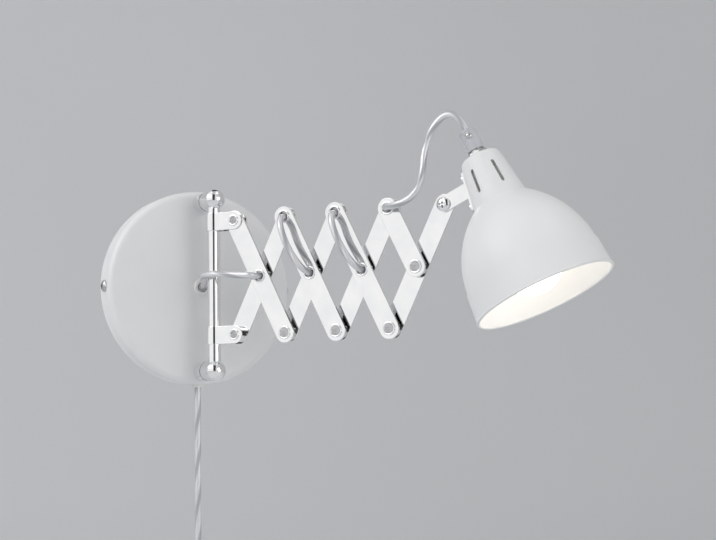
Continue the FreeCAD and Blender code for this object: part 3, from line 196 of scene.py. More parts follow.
def closed_mesh(name, grids, ring=False):
    """Grids of points, each (rows, columns, 3) and wrapped round the columns, become one mesh.

    Quad (i, j) joins points (i, j), (i, j+1), (i+1, j+1) and (i+1, j). With ring the rows wrap too; without
    it the first and last rows become end faces. The volume, the sum of centre . area, must be positive.
    """
    faces, offset = [], 0
    for grid in grids:
        rows, columns = grid.shape[:2]
        index = np.arange(rows * columns).reshape(rows, columns)
        rolled = np.roll(index, -1, axis=1)
        after, rolled_after = np.roll(index, -1, axis=0), np.roll(rolled, -1, axis=0)
        quads = np.stack([index, rolled, rolled_after, after], -1)[:None if ring else -1].reshape(-1, 4)
        flat = grid.reshape(-1, 3)
        corner = flat[quads]
        area = np.cross(corner[:, 2] - corner[:, 0], corner[:, 3] - corner[:, 1])
        ends = [] if ring else [index[0][::-1], index[-1]]
        if np.sum(area * (corner.mean(1) - flat.mean(0))) < 0:
            quads, ends = quads[:, ::-1], [end[::-1] for end in ends]
        faces += (quads + offset).tolist() + [(end + offset).tolist() for end in ends]
        offset += rows * columns
    mesh = bpy.data.meshes.new(name)
    mesh.from_pydata(np.concatenate([grid.reshape(-1, 3) for grid in grids]), [], faces)
    mesh.shade_smooth()
    mesh.set_sharp_from_angle(angle=SHARP_ANGLE)
    return in_scene(name, mesh)


# %% [markdown]
# ## The cords' line
# A flex bends in smooth curves. A spline whose control points are the cord's route gives that line: it
# leaves the first point straight towards the second and rounds every corner. The line is then read back
# as points, and a tube is carried along it. Modelling the tube by hand would lose the true length,
# which the line keeps.

# %% Route to line
SAME_POINT = 1e-7
FIRST_UP = (0.3, 0.2, 0.93)


def smooth_line(name, route, steps=8):
    """The points of a quadratic spline that has the route as its control points and ends on its ends."""
    curve = bpy.data.curves.new(name + "_line", "CURVE")
    curve.dimensions = "3D"
    curve.resolution_u = steps
    spline = curve.splines.new("NURBS")
    spline.points.add(len(route) - 1)
    spline.points.foreach_set("co", np.column_stack([route, np.ones(len(route))]).ravel())
    spline.order_u = 3
    spline.use_endpoint_u = True
    carrier = bpy.data.objects.new(name + "_line", curve)
    line_mesh = bpy.data.meshes.new_from_object(carrier)
    line = np.empty(3 * len(line_mesh.vertices))
    line_mesh.vertices.foreach_get("co", line)
    bpy.data.objects.remove(carrier)
    bpy.data.curves.remove(curve)
    bpy.data.meshes.remove(line_mesh)
    line = line.reshape(-1, 3)
    return line[np.r_[True, np.linalg.norm(np.diff(line, axis=0), axis=1) > SAME_POINT]]


def carried_directions(line):
    """Two directions across the line at each point: a side is the last one less its part along the line."""
    tangent = np.gradient(line, axis=0)
    tangent /= np.linalg.norm(tangent, axis=1)[:, None]
    across = np.empty_like(line)
    side = np.cross(tangent[0], FIRST_UP)
    for step, direction in enumerate(tangent):
        side = side - direction * (side @ direction)
        side /= np.linalg.norm(side)
        across[step] = side
    return across, np.cross(tangent, across)


# %% [markdown]
# ## The flex
# Under its clear sheath the flex has two silver cores that wind slowly round each other, once in every
# 64 mm, and the sheath follows them with two very shallow ridges. Two wound cores inside a clear tube
# would be the literal way, but at this size only their stripes show. So the tube's radius carries the
# ridges, and its map, metres one way and the share of the way round the other, lets the material put
# the cores under them.

# %% Flex
FLEX_RADIUS = 2.5 * MM
LAY_LENGTH = 64 * MM
RIDGE = 0.015
FLEX_MAP = "along_and_round"


def flex_grid(line, length, sides):
    """Radius = R (1 - ridge + ridge cos 2(angle - 2 pi length / lay)), at every angle round every point."""
    across, over = carried_directions(line)
    angle = np.linspace(0, 2 * math.pi, sides, endpoint=False)
    wave = np.cos(2 * (angle[None, :] - 2 * math.pi * length[:, None] / LAY_LENGTH))
    radius = FLEX_RADIUS * (1 - RIDGE + RIDGE * wave)
    return line[:, None] + radius[..., None] * (np.cos(angle)[None, :, None] * across[:, None]
                                                + np.sin(angle)[None, :, None] * over[:, None])


def map_flex(piece, row_lengths, sides):
    """Each face corner gets (metres along, share round); past the seam, the share goes on from below 0."""
    corner = np.empty(len(piece.data.loops), int)
    piece.data.loops.foreach_get("vertex_index", corner)
    row, column = np.divmod(corner, sides)
    counts = np.empty(len(piece.data.polygons), int)
    piece.data.polygons.foreach_get("loop_total", counts)
    starts = np.r_[0, np.cumsum(counts)[:-1]]
    lowest = np.repeat(np.minimum.reduceat(column, starts), counts)
    share = np.where(column - lowest > sides / 2, column - sides, column) / sides
    flat_map = piece.data.uv_layers.new(name=FLEX_MAP)
    flat_map.data.foreach_set("uv", np.column_stack([row_lengths[row], share]).ravel())


def flex(names, route, body_pairs, replaced, first_share=None, sides=14):
    """A two-core flex along a route, cut into equal stretches, or in two where the first one's share says.

    Each stretch rides on its body; one that joins two bodies is left in the lamp's coordinates, on no body.
    """
    line = smooth_line(names[0], route)
    length = np.r_[0, np.cumsum(np.linalg.norm(np.diff(line, axis=0), axis=1))]
    grid = flex_grid(line, length, sides)
    shares = [0, first_share] if first_share else np.linspace(0, 1, len(names) + 1)[:-1]
    cuts = np.searchsorted(length, np.multiply(shares, length[-1])).tolist() + [len(line) - 1]
    pieces = []
    for name, first, last, ridden in zip(names, cuts[:-1], cuts[1:], body_pairs):
        piece = closed_mesh(name, [grid[first:last + 1]])
        map_flex(piece, length[first:last + 1], sides)
        if len(ridden) == 1:
            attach(piece, ridden[0])
        else:
            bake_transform(piece)
        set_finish(piece, "clear_cord")
        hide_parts(*replaced)
        pieces.append(piece)
        print(name, "length, mm:", round(float(length[last] - length[first]) / MM, 1))
    return pieces


# %% [markdown]
# ## The mains lead
# About 1.8 m of flex hangs from the plate through a switch. The photograph shows only its first
# stretch, so the rest is wound up below the picture, as it would be for storage: two flat spirals, one
# on the other, joined by a half turn at the middle. Drawn by hand, the turns would touch or gape. A
# flat spiral is a circle whose radius falls by one pitch in each turn, which is all that the formula
# says.

# %% Mains lead
LEAD_Y, FRONT_LAYER_Y = -9.5, -15.1
LEAD_TOP, PLUG_TOP = -76.0, -345.0
DROP_HEIGHTS = (LEAD_TOP, -140.0, -205.0, -263.0, -294.0)
TAIL_HEIGHTS = (-312.0, -328.0, PLUG_TOP)
COIL_TURNS, COIL_PITCH, COIL_OUTER = 8, 5.6, 42.2
COIL_Z, LAYER_RISE = -303.0, 1.4


def coil_route(steps=16):
    """Radius = outer - pitch * turns from the nearer end; depth and height change in the middle half turn.

    The radius is divided by cos(pi / steps), because the spline cuts the corners of its route.
    """
    turn = np.arange(COIL_TURNS * steps + 1) / steps
    radius = (COIL_OUTER - COIL_PITCH * np.minimum(turn, COIL_TURNS - turn)) / math.cos(math.pi / steps)
    change = np.clip((turn - COIL_TURNS / 2) * 2 + 0.5, 0, 1)
    angle = -2 * math.pi * turn
    return np.column_stack([-COIL_OUTER + radius * np.cos(angle),
                            LEAD_Y + change * (FRONT_LAYER_Y - LEAD_Y),
                            COIL_Z + LAYER_RISE * (change - 0.5) + radius * np.sin(angle)])


lead_route = np.concatenate([[[0, LEAD_Y, height] for height in DROP_HEIGHTS], coil_route(),
                             [[0, FRONT_LAYER_Y, height] for height in TAIL_HEIGHTS]]) * MM
mains_lead, = flex(["mains_lead"], lead_route, [("wall_unit",)],
                   ("mains_cord_drop", "mains_cord_middle", "mains_cord_coil", "mains_cord_tail"))

# %% [markdown]
# ## The lamp's flex
# The lamp's own flex comes out of the plate, passes the rod on its left, enters the first eyelet of the
# arm, and then threads the arm: up behind one link, down in front of the next. One long piece would
# tear as the arm moves, so each stretch between two eyelets is its own piece and moves with its own
# link. The first and last stretches cross joints: they are cut in two, and each part is left in the
# lamp's coordinates, on no body. The arch is cut low, a little over a third of its length from the arm.

# %% Lamp's flex
BULGE = 12.5
ARCH_CUT, ARCH_STILL = 0.36, 14 * MM
crossing, hinge = pivot(1, 1), pivot(0, 3)
start_route = np.concatenate([
    np.array([[0, -19, 0], [-1.5, -30, 2.2], [-9.6, -42, 6.3], [-7.0, -54.3, 7.3]]) * MM,
    on_arm([[16.0, -11.0, 6.4], [29.0, -11.3, 5.2], [crossing[0], -BULGE, crossing[2]], crossing])])
behind_route = [[HALF_LINK, 0, 0], [HALF_LINK, BULGE, 0], [71, 13.6, 3.4], [LINK, BULGE, 0], [LINK, 0, 0]]
front_route = [[0, 0, 0], [0, -BULGE, 0], [23, -13.8, -3.6], [HALF_LINK, -BULGE, 0], [HALF_LINK, 0, 0]]
arch_route = np.concatenate([
    on_arm(hinge + [[0, 0, 0], [0, -BULGE, 0], [11.7, -12.2, 0.1], [23.7, -9.5, 5.9],
                    [29.7, -7.0, 19.9], [29.7, -4.0, 38.4], [35.4, -2.0, 54.9], [46.2, -0.3, 65.4]]),
    on_head([[0, 0, 141.0], [0, 0, 131.0]])])


def link_flex(layer, number, route):
    """The stretch that lies on one link, from its route along that link."""
    return flex(["%s_link_%d_flex" % (layer, number)], on_link(layer, number, route),
                [("%s_%d" % (layer, number),)], ("%s_link_%d_cord" % (layer, number),))


lamp_flex = flex(["lamp_flex_at_plate", "lamp_flex_at_rod"], start_route,
                 [("wall_unit", "swivel"), ("swivel", "front_1")], ("lamp_cord_start",))
for k in (1, 2, 3):
    lamp_flex += link_flex("back", k, behind_route)
for k in (2, 3):
    lamp_flex += link_flex("front", k, front_route)
lamp_flex += flex(["lamp_flex_over_arm", "lamp_flex_to_grip"], arch_route,
                  [("front_4", "back_4"), ("back_4", "head")], ("lamp_cord_arch",),
                  first_share=ARCH_CUT)

# %% [markdown]
# ## Softened metal
# A stamped link, a bent strap or a moulded switch never has a razor edge. The solids here do, and they
# are loose triangles that a bevel would tear apart. So each gets a copy whose doubled points are
# merged, whose flat facets are joined, and whose edges are rounded by a bevel of a few tenths of a
# millimetre. That thin round is what catches the light along every link. The shading then follows the
# larger faces, so that the flats mirror like flats and only the round edges bend the light.

# %% Softened copies
def take_place(piece, node):
    """The piece stands for a solid: it rides on the same body, has the same slot and replaces the node."""
    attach(piece, body_of[node])
    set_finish(piece, slot_of[node])
    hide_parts(node)


def softened(node, width, segments=2):
    """A copy of a solid's mesh: points merged, flat facets joined, edges bevelled by width, mm."""
    work = bmesh.new()
    work.from_mesh(nodes[node].data)
    work.transform(nodes[node].matrix_world)
    bmesh.ops.remove_doubles(work, verts=work.verts, dist=0.001 * MM)
    bmesh.ops.dissolve_limit(work, angle_limit=math.radians(0.4), verts=work.verts, edges=work.edges)
    mesh = bpy.data.meshes.new(node + "_finished")
    work.to_mesh(mesh)
    work.free()
    mesh.shade_smooth()
    piece = in_scene(node + "_finished", mesh)
    bevel = piece.modifiers.new("soft_edges", "BEVEL")
    bevel.width = width * MM
    bevel.segments = segments
    bevel.limit_method = "ANGLE"
    bevel.angle_limit = math.radians(35)
    weighted = piece.modifiers.new("flat_faces_stay_flat", "WEIGHTED_NORMAL")
    weighted.mode = "FACE_AREA"
    weighted.weight = 95
    take_place(piece, node)
    return piece


EDGE_WIDTHS = {
    "upper_clamp": 0.25, "lower_clamp": 0.25, "head_bracket": 0.25, "head_screw": 0.2, "head_nut": 0.3,
    "wall_bracket": 0.25, "post_nuts": 0.3, "nipple_nuts": 0.3, "terminal_block": 0.5,
    "cord_anchor": 0.5, "coil_tie": 0.25, "switch_base": 0.3, "switch_cover": 0.3, "switch_rocker": 0.3,
    "plug_body": 0.4, "plug_pins": 0.5, "cord_grip": 0.2, "lamp_holder": 0.4,
}
LINK_EDGE = 0.3
for layer in ("front", "back"):
    EDGE_WIDTHS.update({"%s_link_%d" % (layer, k): LINK_EDGE for k in (1, 2, 3, 4)})
finished = {node: softened(node, width) for node, width in EDGE_WIDTHS.items()}
face_count = sum(len(piece.data.polygons) for piece in finished.values())
print(len(finished), "softened pieces,", face_count, "faces before the bevel")

# %% [markdown]
# ## Rolled eyelets and rivets
# The pivots are tubes whose ends are rolled outwards over the metal, as a shoe's eyelets are, with a
# shoulder between the two layers of links. Half a doughnut glued on a tube would leave seams inside.
# Instead the ring is one closed outline turned round an axis, so its whole mesh is one formula: every
# outline point, a radius and a height, is repeated at every angle.

# %% Eyelets and rivets
def arc(centre, radius, first, last, count=6):
    """Points of an arc in the outline's plane: centre + radius (cos, sin), from first to last, degrees."""
    angle = np.radians(np.linspace(first, last, count))
    return np.column_stack([centre[0] + radius * np.cos(angle), centre[1] + radius * np.sin(angle)])


def rolled_end(bore, tube, flange, inner, outer, lip=0.75):
    """The outline of one rolled end, mm: out along its inner face, round the edge, back into the bore."""
    edge = (outer - inner) / 2
    return np.concatenate([[[tube, inner]], arc((flange - edge, inner + edge), edge, -90, 90),
                           arc((bore + lip, outer - lip), lip, 90, 180)])


def turned(radius, height, sides):
    """Every outline point at every angle: (radius cos, radius sin, height)."""
    angle = np.linspace(0, 2 * math.pi, sides, endpoint=False)
    return np.stack([np.outer(radius, np.cos(angle)), np.outer(radius, np.sin(angle)),
                     np.outer(height, np.ones(sides))], -1)


def pivot_ring(centre, bore, tube, flange, collar, front, rear, shoulder, turned_back=False, sides=48):
    """A tube with two rolled ends and a shoulder, turned round the pivot's axis, which points backwards."""
    rear_end = rolled_end(bore, tube, flange, *rear)
    front_end = rolled_end(bore, tube, flange, *front)[::-1] * [1, -1]
    outline = np.concatenate([rear_end, front_end,
                              [[tube, shoulder[0]], [collar, shoulder[0]],
                               [collar, shoulder[1]], [tube, shoulder[1]]]])
    depth = outline[:, 1] * (-1 if turned_back else 1)
    return on_arm(centre + turned(outline[:, 0], depth, sides)[..., [0, 2, 1]])


EYELET = dict(bore=3.4, tube=4.0, flange=4.9, collar=5.5,
              front=(3.5, 4.3), rear=(3.65, 4.45), shoulder=(-1.5, 1.35))
RIVET = dict(bore=2.7, tube=3.4, flange=4.2, collar=5.5,
             front=(4.85, 5.65), rear=(4.85, 5.65), shoulder=(-1.35, 3.65))
rings = {"upper_clamp_rivet": [pivot_ring(pivot(0, 0), **RIVET)],
         "lower_clamp_rivet": [pivot_ring(pivot(2, 0), turned_back=True, **RIVET)],
         "front_link_4_eyelet": [pivot_ring(pivot(1, 4), **EYELET)]}
for k in (1, 2, 3):
    rings["front_link_%d_eyelets" % k] = [pivot_ring(pivot(row, k), **EYELET) for row in (1, 2)]
    rings["back_link_%d_eyelet" % k] = [pivot_ring(pivot(0, k), turned_back=True, **EYELET)]
for node, grids in rings.items():
    take_place(closed_mesh(node + "_rolled", grids, ring=True), node)
    low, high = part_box(node)
    points = np.concatenate([grid.reshape(-1, 3) for grid in grids])
    difference = max(abs(points.min(0) - low).max(), abs(points.max(0) - high).max())
    print(node, "differs from its solid by mm:", round(float(difference) / MM, 2))

# %% [markdown]
# ## The plug's sleeve
# Where the lead enters the plug, a soft tapered sleeve with ribs keeps it from kinking. Rings could be
# cut into a cone one by one. Its outline is rather a straight taper with a small wave on it, turned
# round the lead, so the ribs stay even and the number of them is one value.

# %% Plug's sleeve
SLEEVE_LENGTH, SLEEVE_WIDE, SLEEVE_NARROW, SLEEVE_BORE = 24.0, 5.2, 3.3, 2.55
RIBS, GROOVE_DEPTH = 6, 0.45


def ribbed_sleeve(place, rows_per_rib=12, sides=32):
    """Radius = wide - (wide - narrow) share, less the groove; the bore is just wider than the flex."""
    share = np.linspace(0, 1, rows_per_rib * RIBS + 1)
    groove = GROOVE_DEPTH * np.clip(0.2 - 2 * np.cos(2 * math.pi * RIBS * share), 0, 1)
    radius = np.r_[SLEEVE_WIDE + (SLEEVE_NARROW - SLEEVE_WIDE) * share - groove, SLEEVE_BORE, SLEEVE_BORE]
    height = np.r_[share, 1.0, 0.0] * SLEEVE_LENGTH
    return (turned(radius, height, sides) + place) * MM


plug_sleeve = closed_mesh("plug_sleeve", [ribbed_sleeve((0.0, FRONT_LAYER_Y, PLUG_TOP))], ring=True)
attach(plug_sleeve, "wall_unit")
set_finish(plug_sleeve, "white_plastic")

# %% [markdown]
# ## Building materials from nodes
# A finish is more than a colour: paint has a faint skin like orange peel, plated metal has smudges,
# plastic a slight mottle. The nodes could be placed and joined by hand in the editor. A few helpers
# that add a node and feed its inputs do the same, and each material below then reads like a recipe.

# %% Node helpers
def feed(tree, node, inputs):
    """Each input, by its name or number, takes a value or a link from another node's output."""
    for key, value in dict(inputs).items():
        if isinstance(value, bpy.types.NodeSocket):
            tree.links.new(value, node.inputs[key])
        else:
            node.inputs[key].default_value = value
    return node


def add(tree, kind, inputs=(), **settings):
    """A new node of that kind, with its settings made and its inputs fed."""
    node = tree.nodes.new(kind)
    for name, value in settings.items():
        setattr(node, name, value)
    return feed(tree, node, inputs)


def maths(tree, operation, *values):
    """The result of a Math node on values or outputs, in their order."""
    return add(tree, "ShaderNodeMath", enumerate(values), operation=operation).outputs[0]


def ranged(tree, value, low, high, **settings):
    """A Map Range: where the value goes from low[0] to high[0], the result goes from low[1] to high[1]."""
    return add(tree, "ShaderNodeMapRange", {"Value": value, "From Min": low[0], "From Max": high[0],
                                            "To Min": low[1], "To Max": high[1]}, **settings).outputs[0]


def new_material(name):
    """An empty material with a Principled shader on its output."""
    material = bpy.data.materials.new(name)
    material.use_nodes = True
    tree = material.node_tree
    tree.nodes.clear()
    shader = add(tree, "ShaderNodeBsdfPrincipled")
    add(tree, "ShaderNodeOutputMaterial", {"Surface": shader.outputs[0]})
    return material, tree, shader


# %% [markdown]
# ## Two effects that many finishes share
# The skin is fine noise that a bump reads, plus slow noise that shifts the tone by a few percent. The
# handling marks are long faint streaks, from noise that is squeezed in one direction. They could be
# built again in each material. As node groups they are built once, and the paint, the plating and the
# plastics use them with their own scale.

# %% Skin and marks groups
def make_group(name, inputs, outputs):
    """An empty group with named number inputs (and their first values) and named number outputs."""
    tree = bpy.data.node_groups.new(name, "ShaderNodeTree")
    for label, value in inputs.items():
        socket = tree.interface.new_socket(label, in_out="INPUT", socket_type="NodeSocketFloat")
        socket.default_value = value
    for label in outputs:
        tree.interface.new_socket(label, in_out="OUTPUT", socket_type="NodeSocketFloat")
    return tree, tree.nodes.new("NodeGroupInput"), tree.nodes.new("NodeGroupOutput")


NOISE_LOW, NOISE_HIGH = 0.3, 0.7
NO_MARK, FULL_MARK = (0.52, 0.0), (0.72, 1.0)


def noise(tree, place, scale, detail, **inputs):
    """Soft noise between 0 and 1, nearly all of it between the low and the high value above."""
    return add(tree, "ShaderNodeTexNoise",
               {"Vector": place, "Scale": scale, "Detail": detail, **inputs}).outputs["Fac"]


skin, given, result = make_group("surface_skin", {"Fine Scale": 900.0, "Slow Scale": 25.0},
                                 ("Height", "Mottle"))
place = add(skin, "ShaderNodeTexCoord").outputs["Object"]
feed(skin, result, {"Height": noise(skin, place, given.outputs["Fine Scale"], detail=3.0),
                    "Mottle": noise(skin, place, given.outputs["Slow Scale"], detail=2.0)})

marks, given, result = make_group("handling_marks", {"Scale": 60.0, "Squeeze": 14.0}, ("Mask",))
place = add(marks, "ShaderNodeTexCoord").outputs["Object"]
apart = add(marks, "ShaderNodeSeparateXYZ", {0: place})
squeezed = maths(marks, "MULTIPLY", apart.outputs["Z"], given.outputs["Squeeze"])
vector = add(marks, "ShaderNodeCombineXYZ",
             {"X": apart.outputs["X"], "Y": apart.outputs["Y"], "Z": squeezed}).outputs[0]
streaks = noise(marks, vector, given.outputs["Scale"], detail=4.0, Roughness=0.6)
feed(marks, result, {"Mask": ranged(marks, streaks, NO_MARK, FULL_MARK)})
print("groups:", [(group.name, len(group.nodes)) for group in (skin, marks)])

# %% [markdown]
# ## One recipe for painted, moulded and plated surfaces
# All these finishes drift a little in colour and in roughness, and all have a fine skin. One function
# gives a material those three things, and each finish names what is its own. Copying the nodes from one
# finish to the next would do too, but a change would then have to be made in every copy.

# %% The common recipe
def use_group(tree, group, inputs):
    """The group placed in a material, with its inputs fed."""
    return add(tree, "ShaderNodeGroup", inputs, node_tree=group)


def blend_colours(tree, share, low, high):
    """A colour between two: low where the share is 0, high where it is 1."""
    return add(tree, "ShaderNodeMix", {"Factor": share, "A": (*low, 1), "B": (*high, 1)},
               data_type="RGBA").outputs["Result"]


def spread(tree, share, low, high):
    """A number between two, from a noise's low value to its high one."""
    return ranged(tree, share, (NOISE_LOW, low), (NOISE_HIGH, high))


def bump(tree, height, depth):
    """A normal from a height: depth is how deep the height's full range is, in metres."""
    return add(tree, "ShaderNodeBump", {"Height": height, "Distance": depth, "Strength": 1.0}).outputs[0]


def surface(name, colours, roughness, depth, fine, slow, smudges=0.0, glow=None, plain=()):
    """Colour and roughness go from their first to their second value with the mottle; the bump is the skin.

    With smudges, the handling marks add up to that much roughness. With glow, two more colours are given
    off. The plain values go to the shader's own sockets.
    """
    material, tree, shader = new_material(name)
    grain = use_group(tree, skin, {"Fine Scale": fine, "Slow Scale": slow})
    tone = spread(tree, grain.outputs["Mottle"], 0, 1)
    dullness = spread(tree, grain.outputs["Mottle"], *roughness)
    if smudges:
        touched = use_group(tree, marks, {"Scale": 90.0, "Squeeze": 9.0})
        dullness = maths(tree, "MULTIPLY_ADD", touched.outputs["Mask"], smudges, dullness)
    if glow:
        feed(tree, shader, {"Emission Color": blend_colours(tree, tone, *glow)})
    feed(tree, shader, {"Base Color": blend_colours(tree, tone, *colours), "Roughness": dullness,
                        "Normal": bump(tree, grain.outputs["Height"], depth)})
    feed(tree, shader, plain)
    print(name, "has", len(tree.nodes), "nodes")
    return material


# %% [markdown]
# ## White powder coat
# Plate and shade are steel with a baked matt powder coat: nearly white, a little cool, with a soft
# sheen and a skin of sub-millimetre dimples. The dimples are far too fine to model, so they are a bump.

# %% White coat
white_coat = surface("white_powder_coat", ((0.79, 0.80, 0.81), (0.83, 0.835, 0.84)), (0.40, 0.50),
                     depth=0.04 * MM, fine=1500.0, slow=18.0)

# %% [markdown]
# ## Chrome and plain steel
# The links, posts and rod are polished and chromed. Chrome is almost a mirror, so what it shows is the
# studio: its own part is only a faint waviness from the stamping and a few smudges that dull it. The
# wall bracket, the nuts inside and the small screws are zinc plated, which is greyer and softer. The
# bulb's cap and the plug's pins are nickel plated.

# %% Metals
def metal(name, colours, smooth, rough, wave, fine):
    """Roughness goes from smooth to halfway with the mottle, and up to rough where the marks are."""
    halfway = (smooth + rough) / 2
    return surface(name, colours, (smooth, halfway), depth=wave, fine=fine, slow=70.0,
                   smudges=(rough - smooth) / 2, plain={"Metallic": 1.0})


chrome = metal("polished_chrome", ((0.86, 0.87, 0.88), (0.93, 0.93, 0.93)),
               smooth=0.05, rough=0.14, wave=0.01 * MM, fine=90.0)
steel = metal("zinc_plated_steel", ((0.52, 0.53, 0.54), (0.63, 0.63, 0.62)),
              smooth=0.24, rough=0.45, wave=0.03 * MM, fine=500.0)
bulb_metal = metal("nickel_cap", ((0.60, 0.59, 0.56), (0.72, 0.71, 0.67)),
                   smooth=0.22, rough=0.40, wave=0.04 * MM, fine=400.0)
pin_metal = metal("nickel_pins", ((0.70, 0.69, 0.66), (0.80, 0.79, 0.76)),
                  smooth=0.14, rough=0.34, wave=0.02 * MM, fine=300.0)

# %% [markdown]
# ## Plastics
# The switch, plug and holder are white moulded plastic, smoother than the powder coat and a touch
# warmer. Light goes a millimetre or two into it, which a little subsurface weight gives. The grip at
# the top of the shade is clear plastic. Fully clear, it would show every facet behind it, so only a
# third of the light passes, and the nipple shows through as a shadow.

# %% Plastics
white_plastic = surface("white_moulded_plastic", ((0.80, 0.80, 0.78), (0.84, 0.84, 0.82)), (0.28, 0.36),
                        depth=0.02 * MM, fine=700.0, slow=30.0,
                        plain={"Subsurface Weight": 0.05,
                               "Subsurface Radius": (2.0 * MM, 2.0 * MM, 1.8 * MM)})
clear_plastic = surface("clear_plastic", ((0.66, 0.67, 0.72), (0.76, 0.77, 0.81)), (0.24, 0.34),
                        depth=0.03 * MM, fine=500.0, slow=60.0,
                        plain={"Transmission Weight": 0.35, "IOR": 1.49})

# %% [markdown]
# ## The flex's finish
# Two bundles of tinned wires shine through the clear sheath. On the map, one core's middle lies where
# the share round minus length over lay is 0, the other's at a half, so a cosine of that number draws
# both. Fine streaks are the single wires. The sheath itself is a coat, a thin clear gloss over the
# cores, which needs no second tube outside the first.

# %% Flex finish
WIRE_STRETCH = 25.0
clear_cord, tree, shader = new_material("clear_two_core_flex")
flat_map = add(tree, "ShaderNodeUVMap", uv_map=FLEX_MAP)
apart = add(tree, "ShaderNodeSeparateXYZ", {0: flat_map.outputs[0]})
turns = maths(tree, "DIVIDE", apart.outputs["X"], LAY_LENGTH)
phase = maths(tree, "SUBTRACT", apart.outputs["Y"], turns)
lobes = maths(tree, "COSINE", maths(tree, "MULTIPLY", phase, 4 * math.pi))
core = ranged(tree, lobes, (-1.0, 0.0), (0.3, 1.0), interpolation_type="SMOOTHSTEP")
once = maths(tree, "MULTIPLY", phase, 2 * math.pi)
round_the_flex = add(tree, "ShaderNodeCombineXYZ", {
    "X": maths(tree, "COSINE", once), "Y": maths(tree, "SINE", once),
    "Z": maths(tree, "MULTIPLY", apart.outputs["X"], WIRE_STRETCH)}).outputs[0]
wires = noise(tree, round_the_flex, scale=5.0, detail=3.0)
shine = maths(tree, "MULTIPLY", core, spread(tree, wires, 0.55, 1.0))
feed(tree, shader, {"Base Color": blend_colours(tree, shine, (0.42, 0.43, 0.45), (0.84, 0.84, 0.86)),
                    "Metallic": maths(tree, "MULTIPLY", shine, 0.55),
                    "Roughness": spread(tree, wires, 0.30, 0.45),
                    "Normal": bump(tree, wires, 0.1 * MM),
                    "Coat Weight": 1.0, "Coat Roughness": 0.05})
print("flex finish has", len(tree.nodes), "nodes")

# %% [markdown]
# ## The lit bulb
# The bulb is a frosted ball that glows. Its glow also lights the inside of the shade, so no separate
# lamp is hidden there. The tone changes very slightly over the ball, as frosting does.

# %% Bulb
bulb_glass = surface("lit_frosted_glass", ((0.90, 0.88, 0.84), (0.95, 0.93, 0.90)), (0.35, 0.45),
                     depth=0.02 * MM, fine=900.0, slow=40.0,
                     glow=((1.0, 0.91, 0.77), (1.0, 0.94, 0.84)), plain={"Emission Strength": 2.2})

# %% [markdown]
# ## Dressing the lamp
# Every solid that still shows, and every new piece, takes the material of its slot. They could be
# dressed one by one, but the record already says which finish each piece has, so a loop does it. The
# solids' own meshes stay as they are; only the material in their slot changes.

# %% Give every piece its finish
FINISHES = {"white_coat": white_coat, "chrome": chrome, "steel": steel, "clear_cord": clear_cord,
            "white_plastic": white_plastic, "clear_plastic": clear_plastic, "bulb_glass": bulb_glass,
            "bulb_metal": bulb_metal, "pin_metal": pin_metal}
for name, node in nodes.items():
    for holder in node.material_slots:
        holder.link = "OBJECT"
        holder.material = FINISHES[slot_of[name]]
for piece in bpy.context.scene.objects:
    if piece.type == "MESH" and "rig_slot" in piece and piece.name not in nodes:
        piece.data.materials.append(FINISHES[piece["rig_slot"]])
print("materials:", sorted(FINISHES))

# %% [markdown]
# ## Floor and backdrop
# In a studio, a roll of pale paper runs under the lamp and curves up far behind it, so there is no
# horizon. Two planes would show a line where they meet. The sheet here is one section, a level line, a
# quarter circle and an upright line, drawn out sideways.

# %% Floor and backdrop
def sweep_sheet(floor_z, near_y, bend_y, bend_radius, top_z, half_width, bend_rows=13, columns=24):
    """A level line, a quarter circle and an upright line in the YZ plane, the same at every X."""
    quarter = np.linspace(0, math.pi / 2, bend_rows)
    section_y = np.r_[near_y, bend_y + bend_radius * np.sin(quarter), bend_y + bend_radius]
    section_z = np.r_[floor_z, floor_z + bend_radius * (1 - np.cos(quarter)), top_z]
    across = np.linspace(-half_width, half_width, columns)
    grid = np.stack([np.outer(np.ones(len(section_y)), across), np.outer(section_y, np.ones(columns)),
                     np.outer(section_z, np.ones(columns))], -1)
    index = np.arange(len(section_y) * columns).reshape(-1, columns)
    quads = np.stack([index[:-1, :-1], index[:-1, 1:], index[1:, 1:], index[1:, :-1]], -1)
    mesh = bpy.data.meshes.new("studio_sheet")
    mesh.from_pydata(grid.reshape(-1, 3), [], quads.reshape(-1, 4).tolist())
    mesh.shade_smooth()
    return in_scene("studio_sheet", mesh)


studio_sheet = sweep_sheet(floor_z=-0.42, near_y=-3.0, bend_y=1.5, bend_radius=0.8, top_z=3.0,
                           half_width=4.0)
sheet_finish, tree, shader = new_material("pale_paper")
grain = use_group(tree, skin, {"Fine Scale": 120.0, "Slow Scale": 0.8})
tone = spread(tree, grain.outputs["Mottle"], 0, 1)
feed(tree, shader, {"Base Color": blend_colours(tree, tone, (0.80, 0.81, 0.83), (0.82, 0.83, 0.85)),
                    "Roughness": 0.9})
studio_sheet.data.materials.append(sheet_finish)
print("sheet:", len(studio_sheet.data.polygons), "faces")

# %% [markdown]
# ## Light
# Chrome shows whatever stands round it, so the room matters as much for its reflections as for its
# light. Small lamps would leave hard white dots on it. Here three large soft panels give the shade its
# form, and the room round them is brightest at the left, which fills the links with white. A dark
# upright gap where the camera stands draws a thin black line down the rod and posts, which makes them
# read as round. Where a view goes past the sheet, it meets an even pale grey instead of the room.

# %% Soft panels and the room
LAMP_MIDDLE = Vector((0.08, -0.16, 0.0))


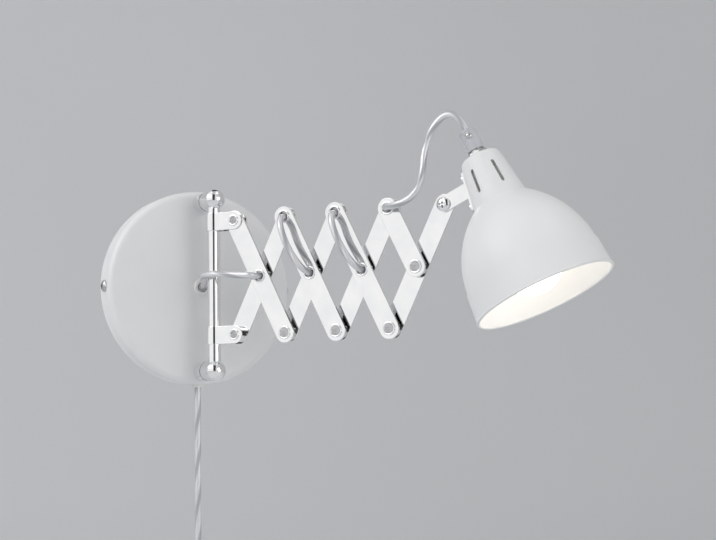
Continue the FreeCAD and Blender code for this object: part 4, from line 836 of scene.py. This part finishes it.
def soft_panel(name, place, width, height, brightness):
    """A rectangle of light that faces the lamp. Power = brightness * pi * area, so 1 is seen as white."""
    light = bpy.data.lights.new(name, "AREA")
    light.shape = "RECTANGLE"
    light.size, light.size_y = width, height
    light.energy = brightness * math.pi * width * height
    away = (Vector(place) - LAMP_MIDDLE).normalized()
    facing = away.to_track_quat("Z", "Y").to_matrix().to_4x4()
    in_scene(name, light).matrix_world = Matrix.Translation(place) @ facing
    print(name, "power, W:", round(light.energy, 2))


soft_panel("left_panel", (-1.35, -0.2, 0.95), width=1.3, height=0.8, brightness=2.6)
soft_panel("right_panel", (0.8, -1.75, 0.3), width=1.2, height=1.1, brightness=1.7)
soft_panel("top_panel", (0.1, -0.35, 1.5), width=1.4, height=1.2, brightness=0.5)

# Each pair is how far a direction points sideways, and the room's brightness or open share there.
RIGHT_SIDE, LEFT_SIDE = (0.8, 0.46), (-0.9, 0.95)
IN_THE_GAP, PAST_THE_GAP = (0.19, 0.05), (0.25, 1.0)
BACKGROUND = 0.66
world = bpy.data.worlds.new("studio_room")
bpy.context.scene.world = world
world.use_nodes = True
tree = world.node_tree
tree.nodes.clear()
direction = add(tree, "ShaderNodeTexCoord").outputs["Generated"]
apart = add(tree, "ShaderNodeSeparateXYZ", {0: direction})
leftward = ranged(tree, apart.outputs["X"], RIGHT_SIDE, LEFT_SIDE, interpolation_type="SMOOTHSTEP")
sideways = add(tree, "ShaderNodeVectorMath", {0: direction, 1: tuple(level_right)},
               operation="DOT_PRODUCT")
off_gap = maths(tree, "ABSOLUTE", sideways.outputs["Value"])
open_share = ranged(tree, off_gap, IN_THE_GAP, PAST_THE_GAP, interpolation_type="SMOOTHSTEP")
lit = maths(tree, "MULTIPLY", leftward, open_share)
ray = add(tree, "ShaderNodeLightPath")
seen = add(tree, "ShaderNodeMix", {"Factor": ray.outputs["Is Camera Ray"], "A": lit, "B": BACKGROUND})
room = add(tree, "ShaderNodeBackground", {"Color": seen.outputs["Result"], "Strength": 1.0})
add(tree, "ShaderNodeOutputWorld", {"Surface": room.outputs[0]})
print("room:", len(tree.nodes), "nodes")

# %% [markdown]
# ## The end
# The picture's colours go through the Standard view transform. The dressed lamp must stay in
# the solids' box.

# %% View transform
bpy.context.scene.view_settings.view_transform = "Standard"
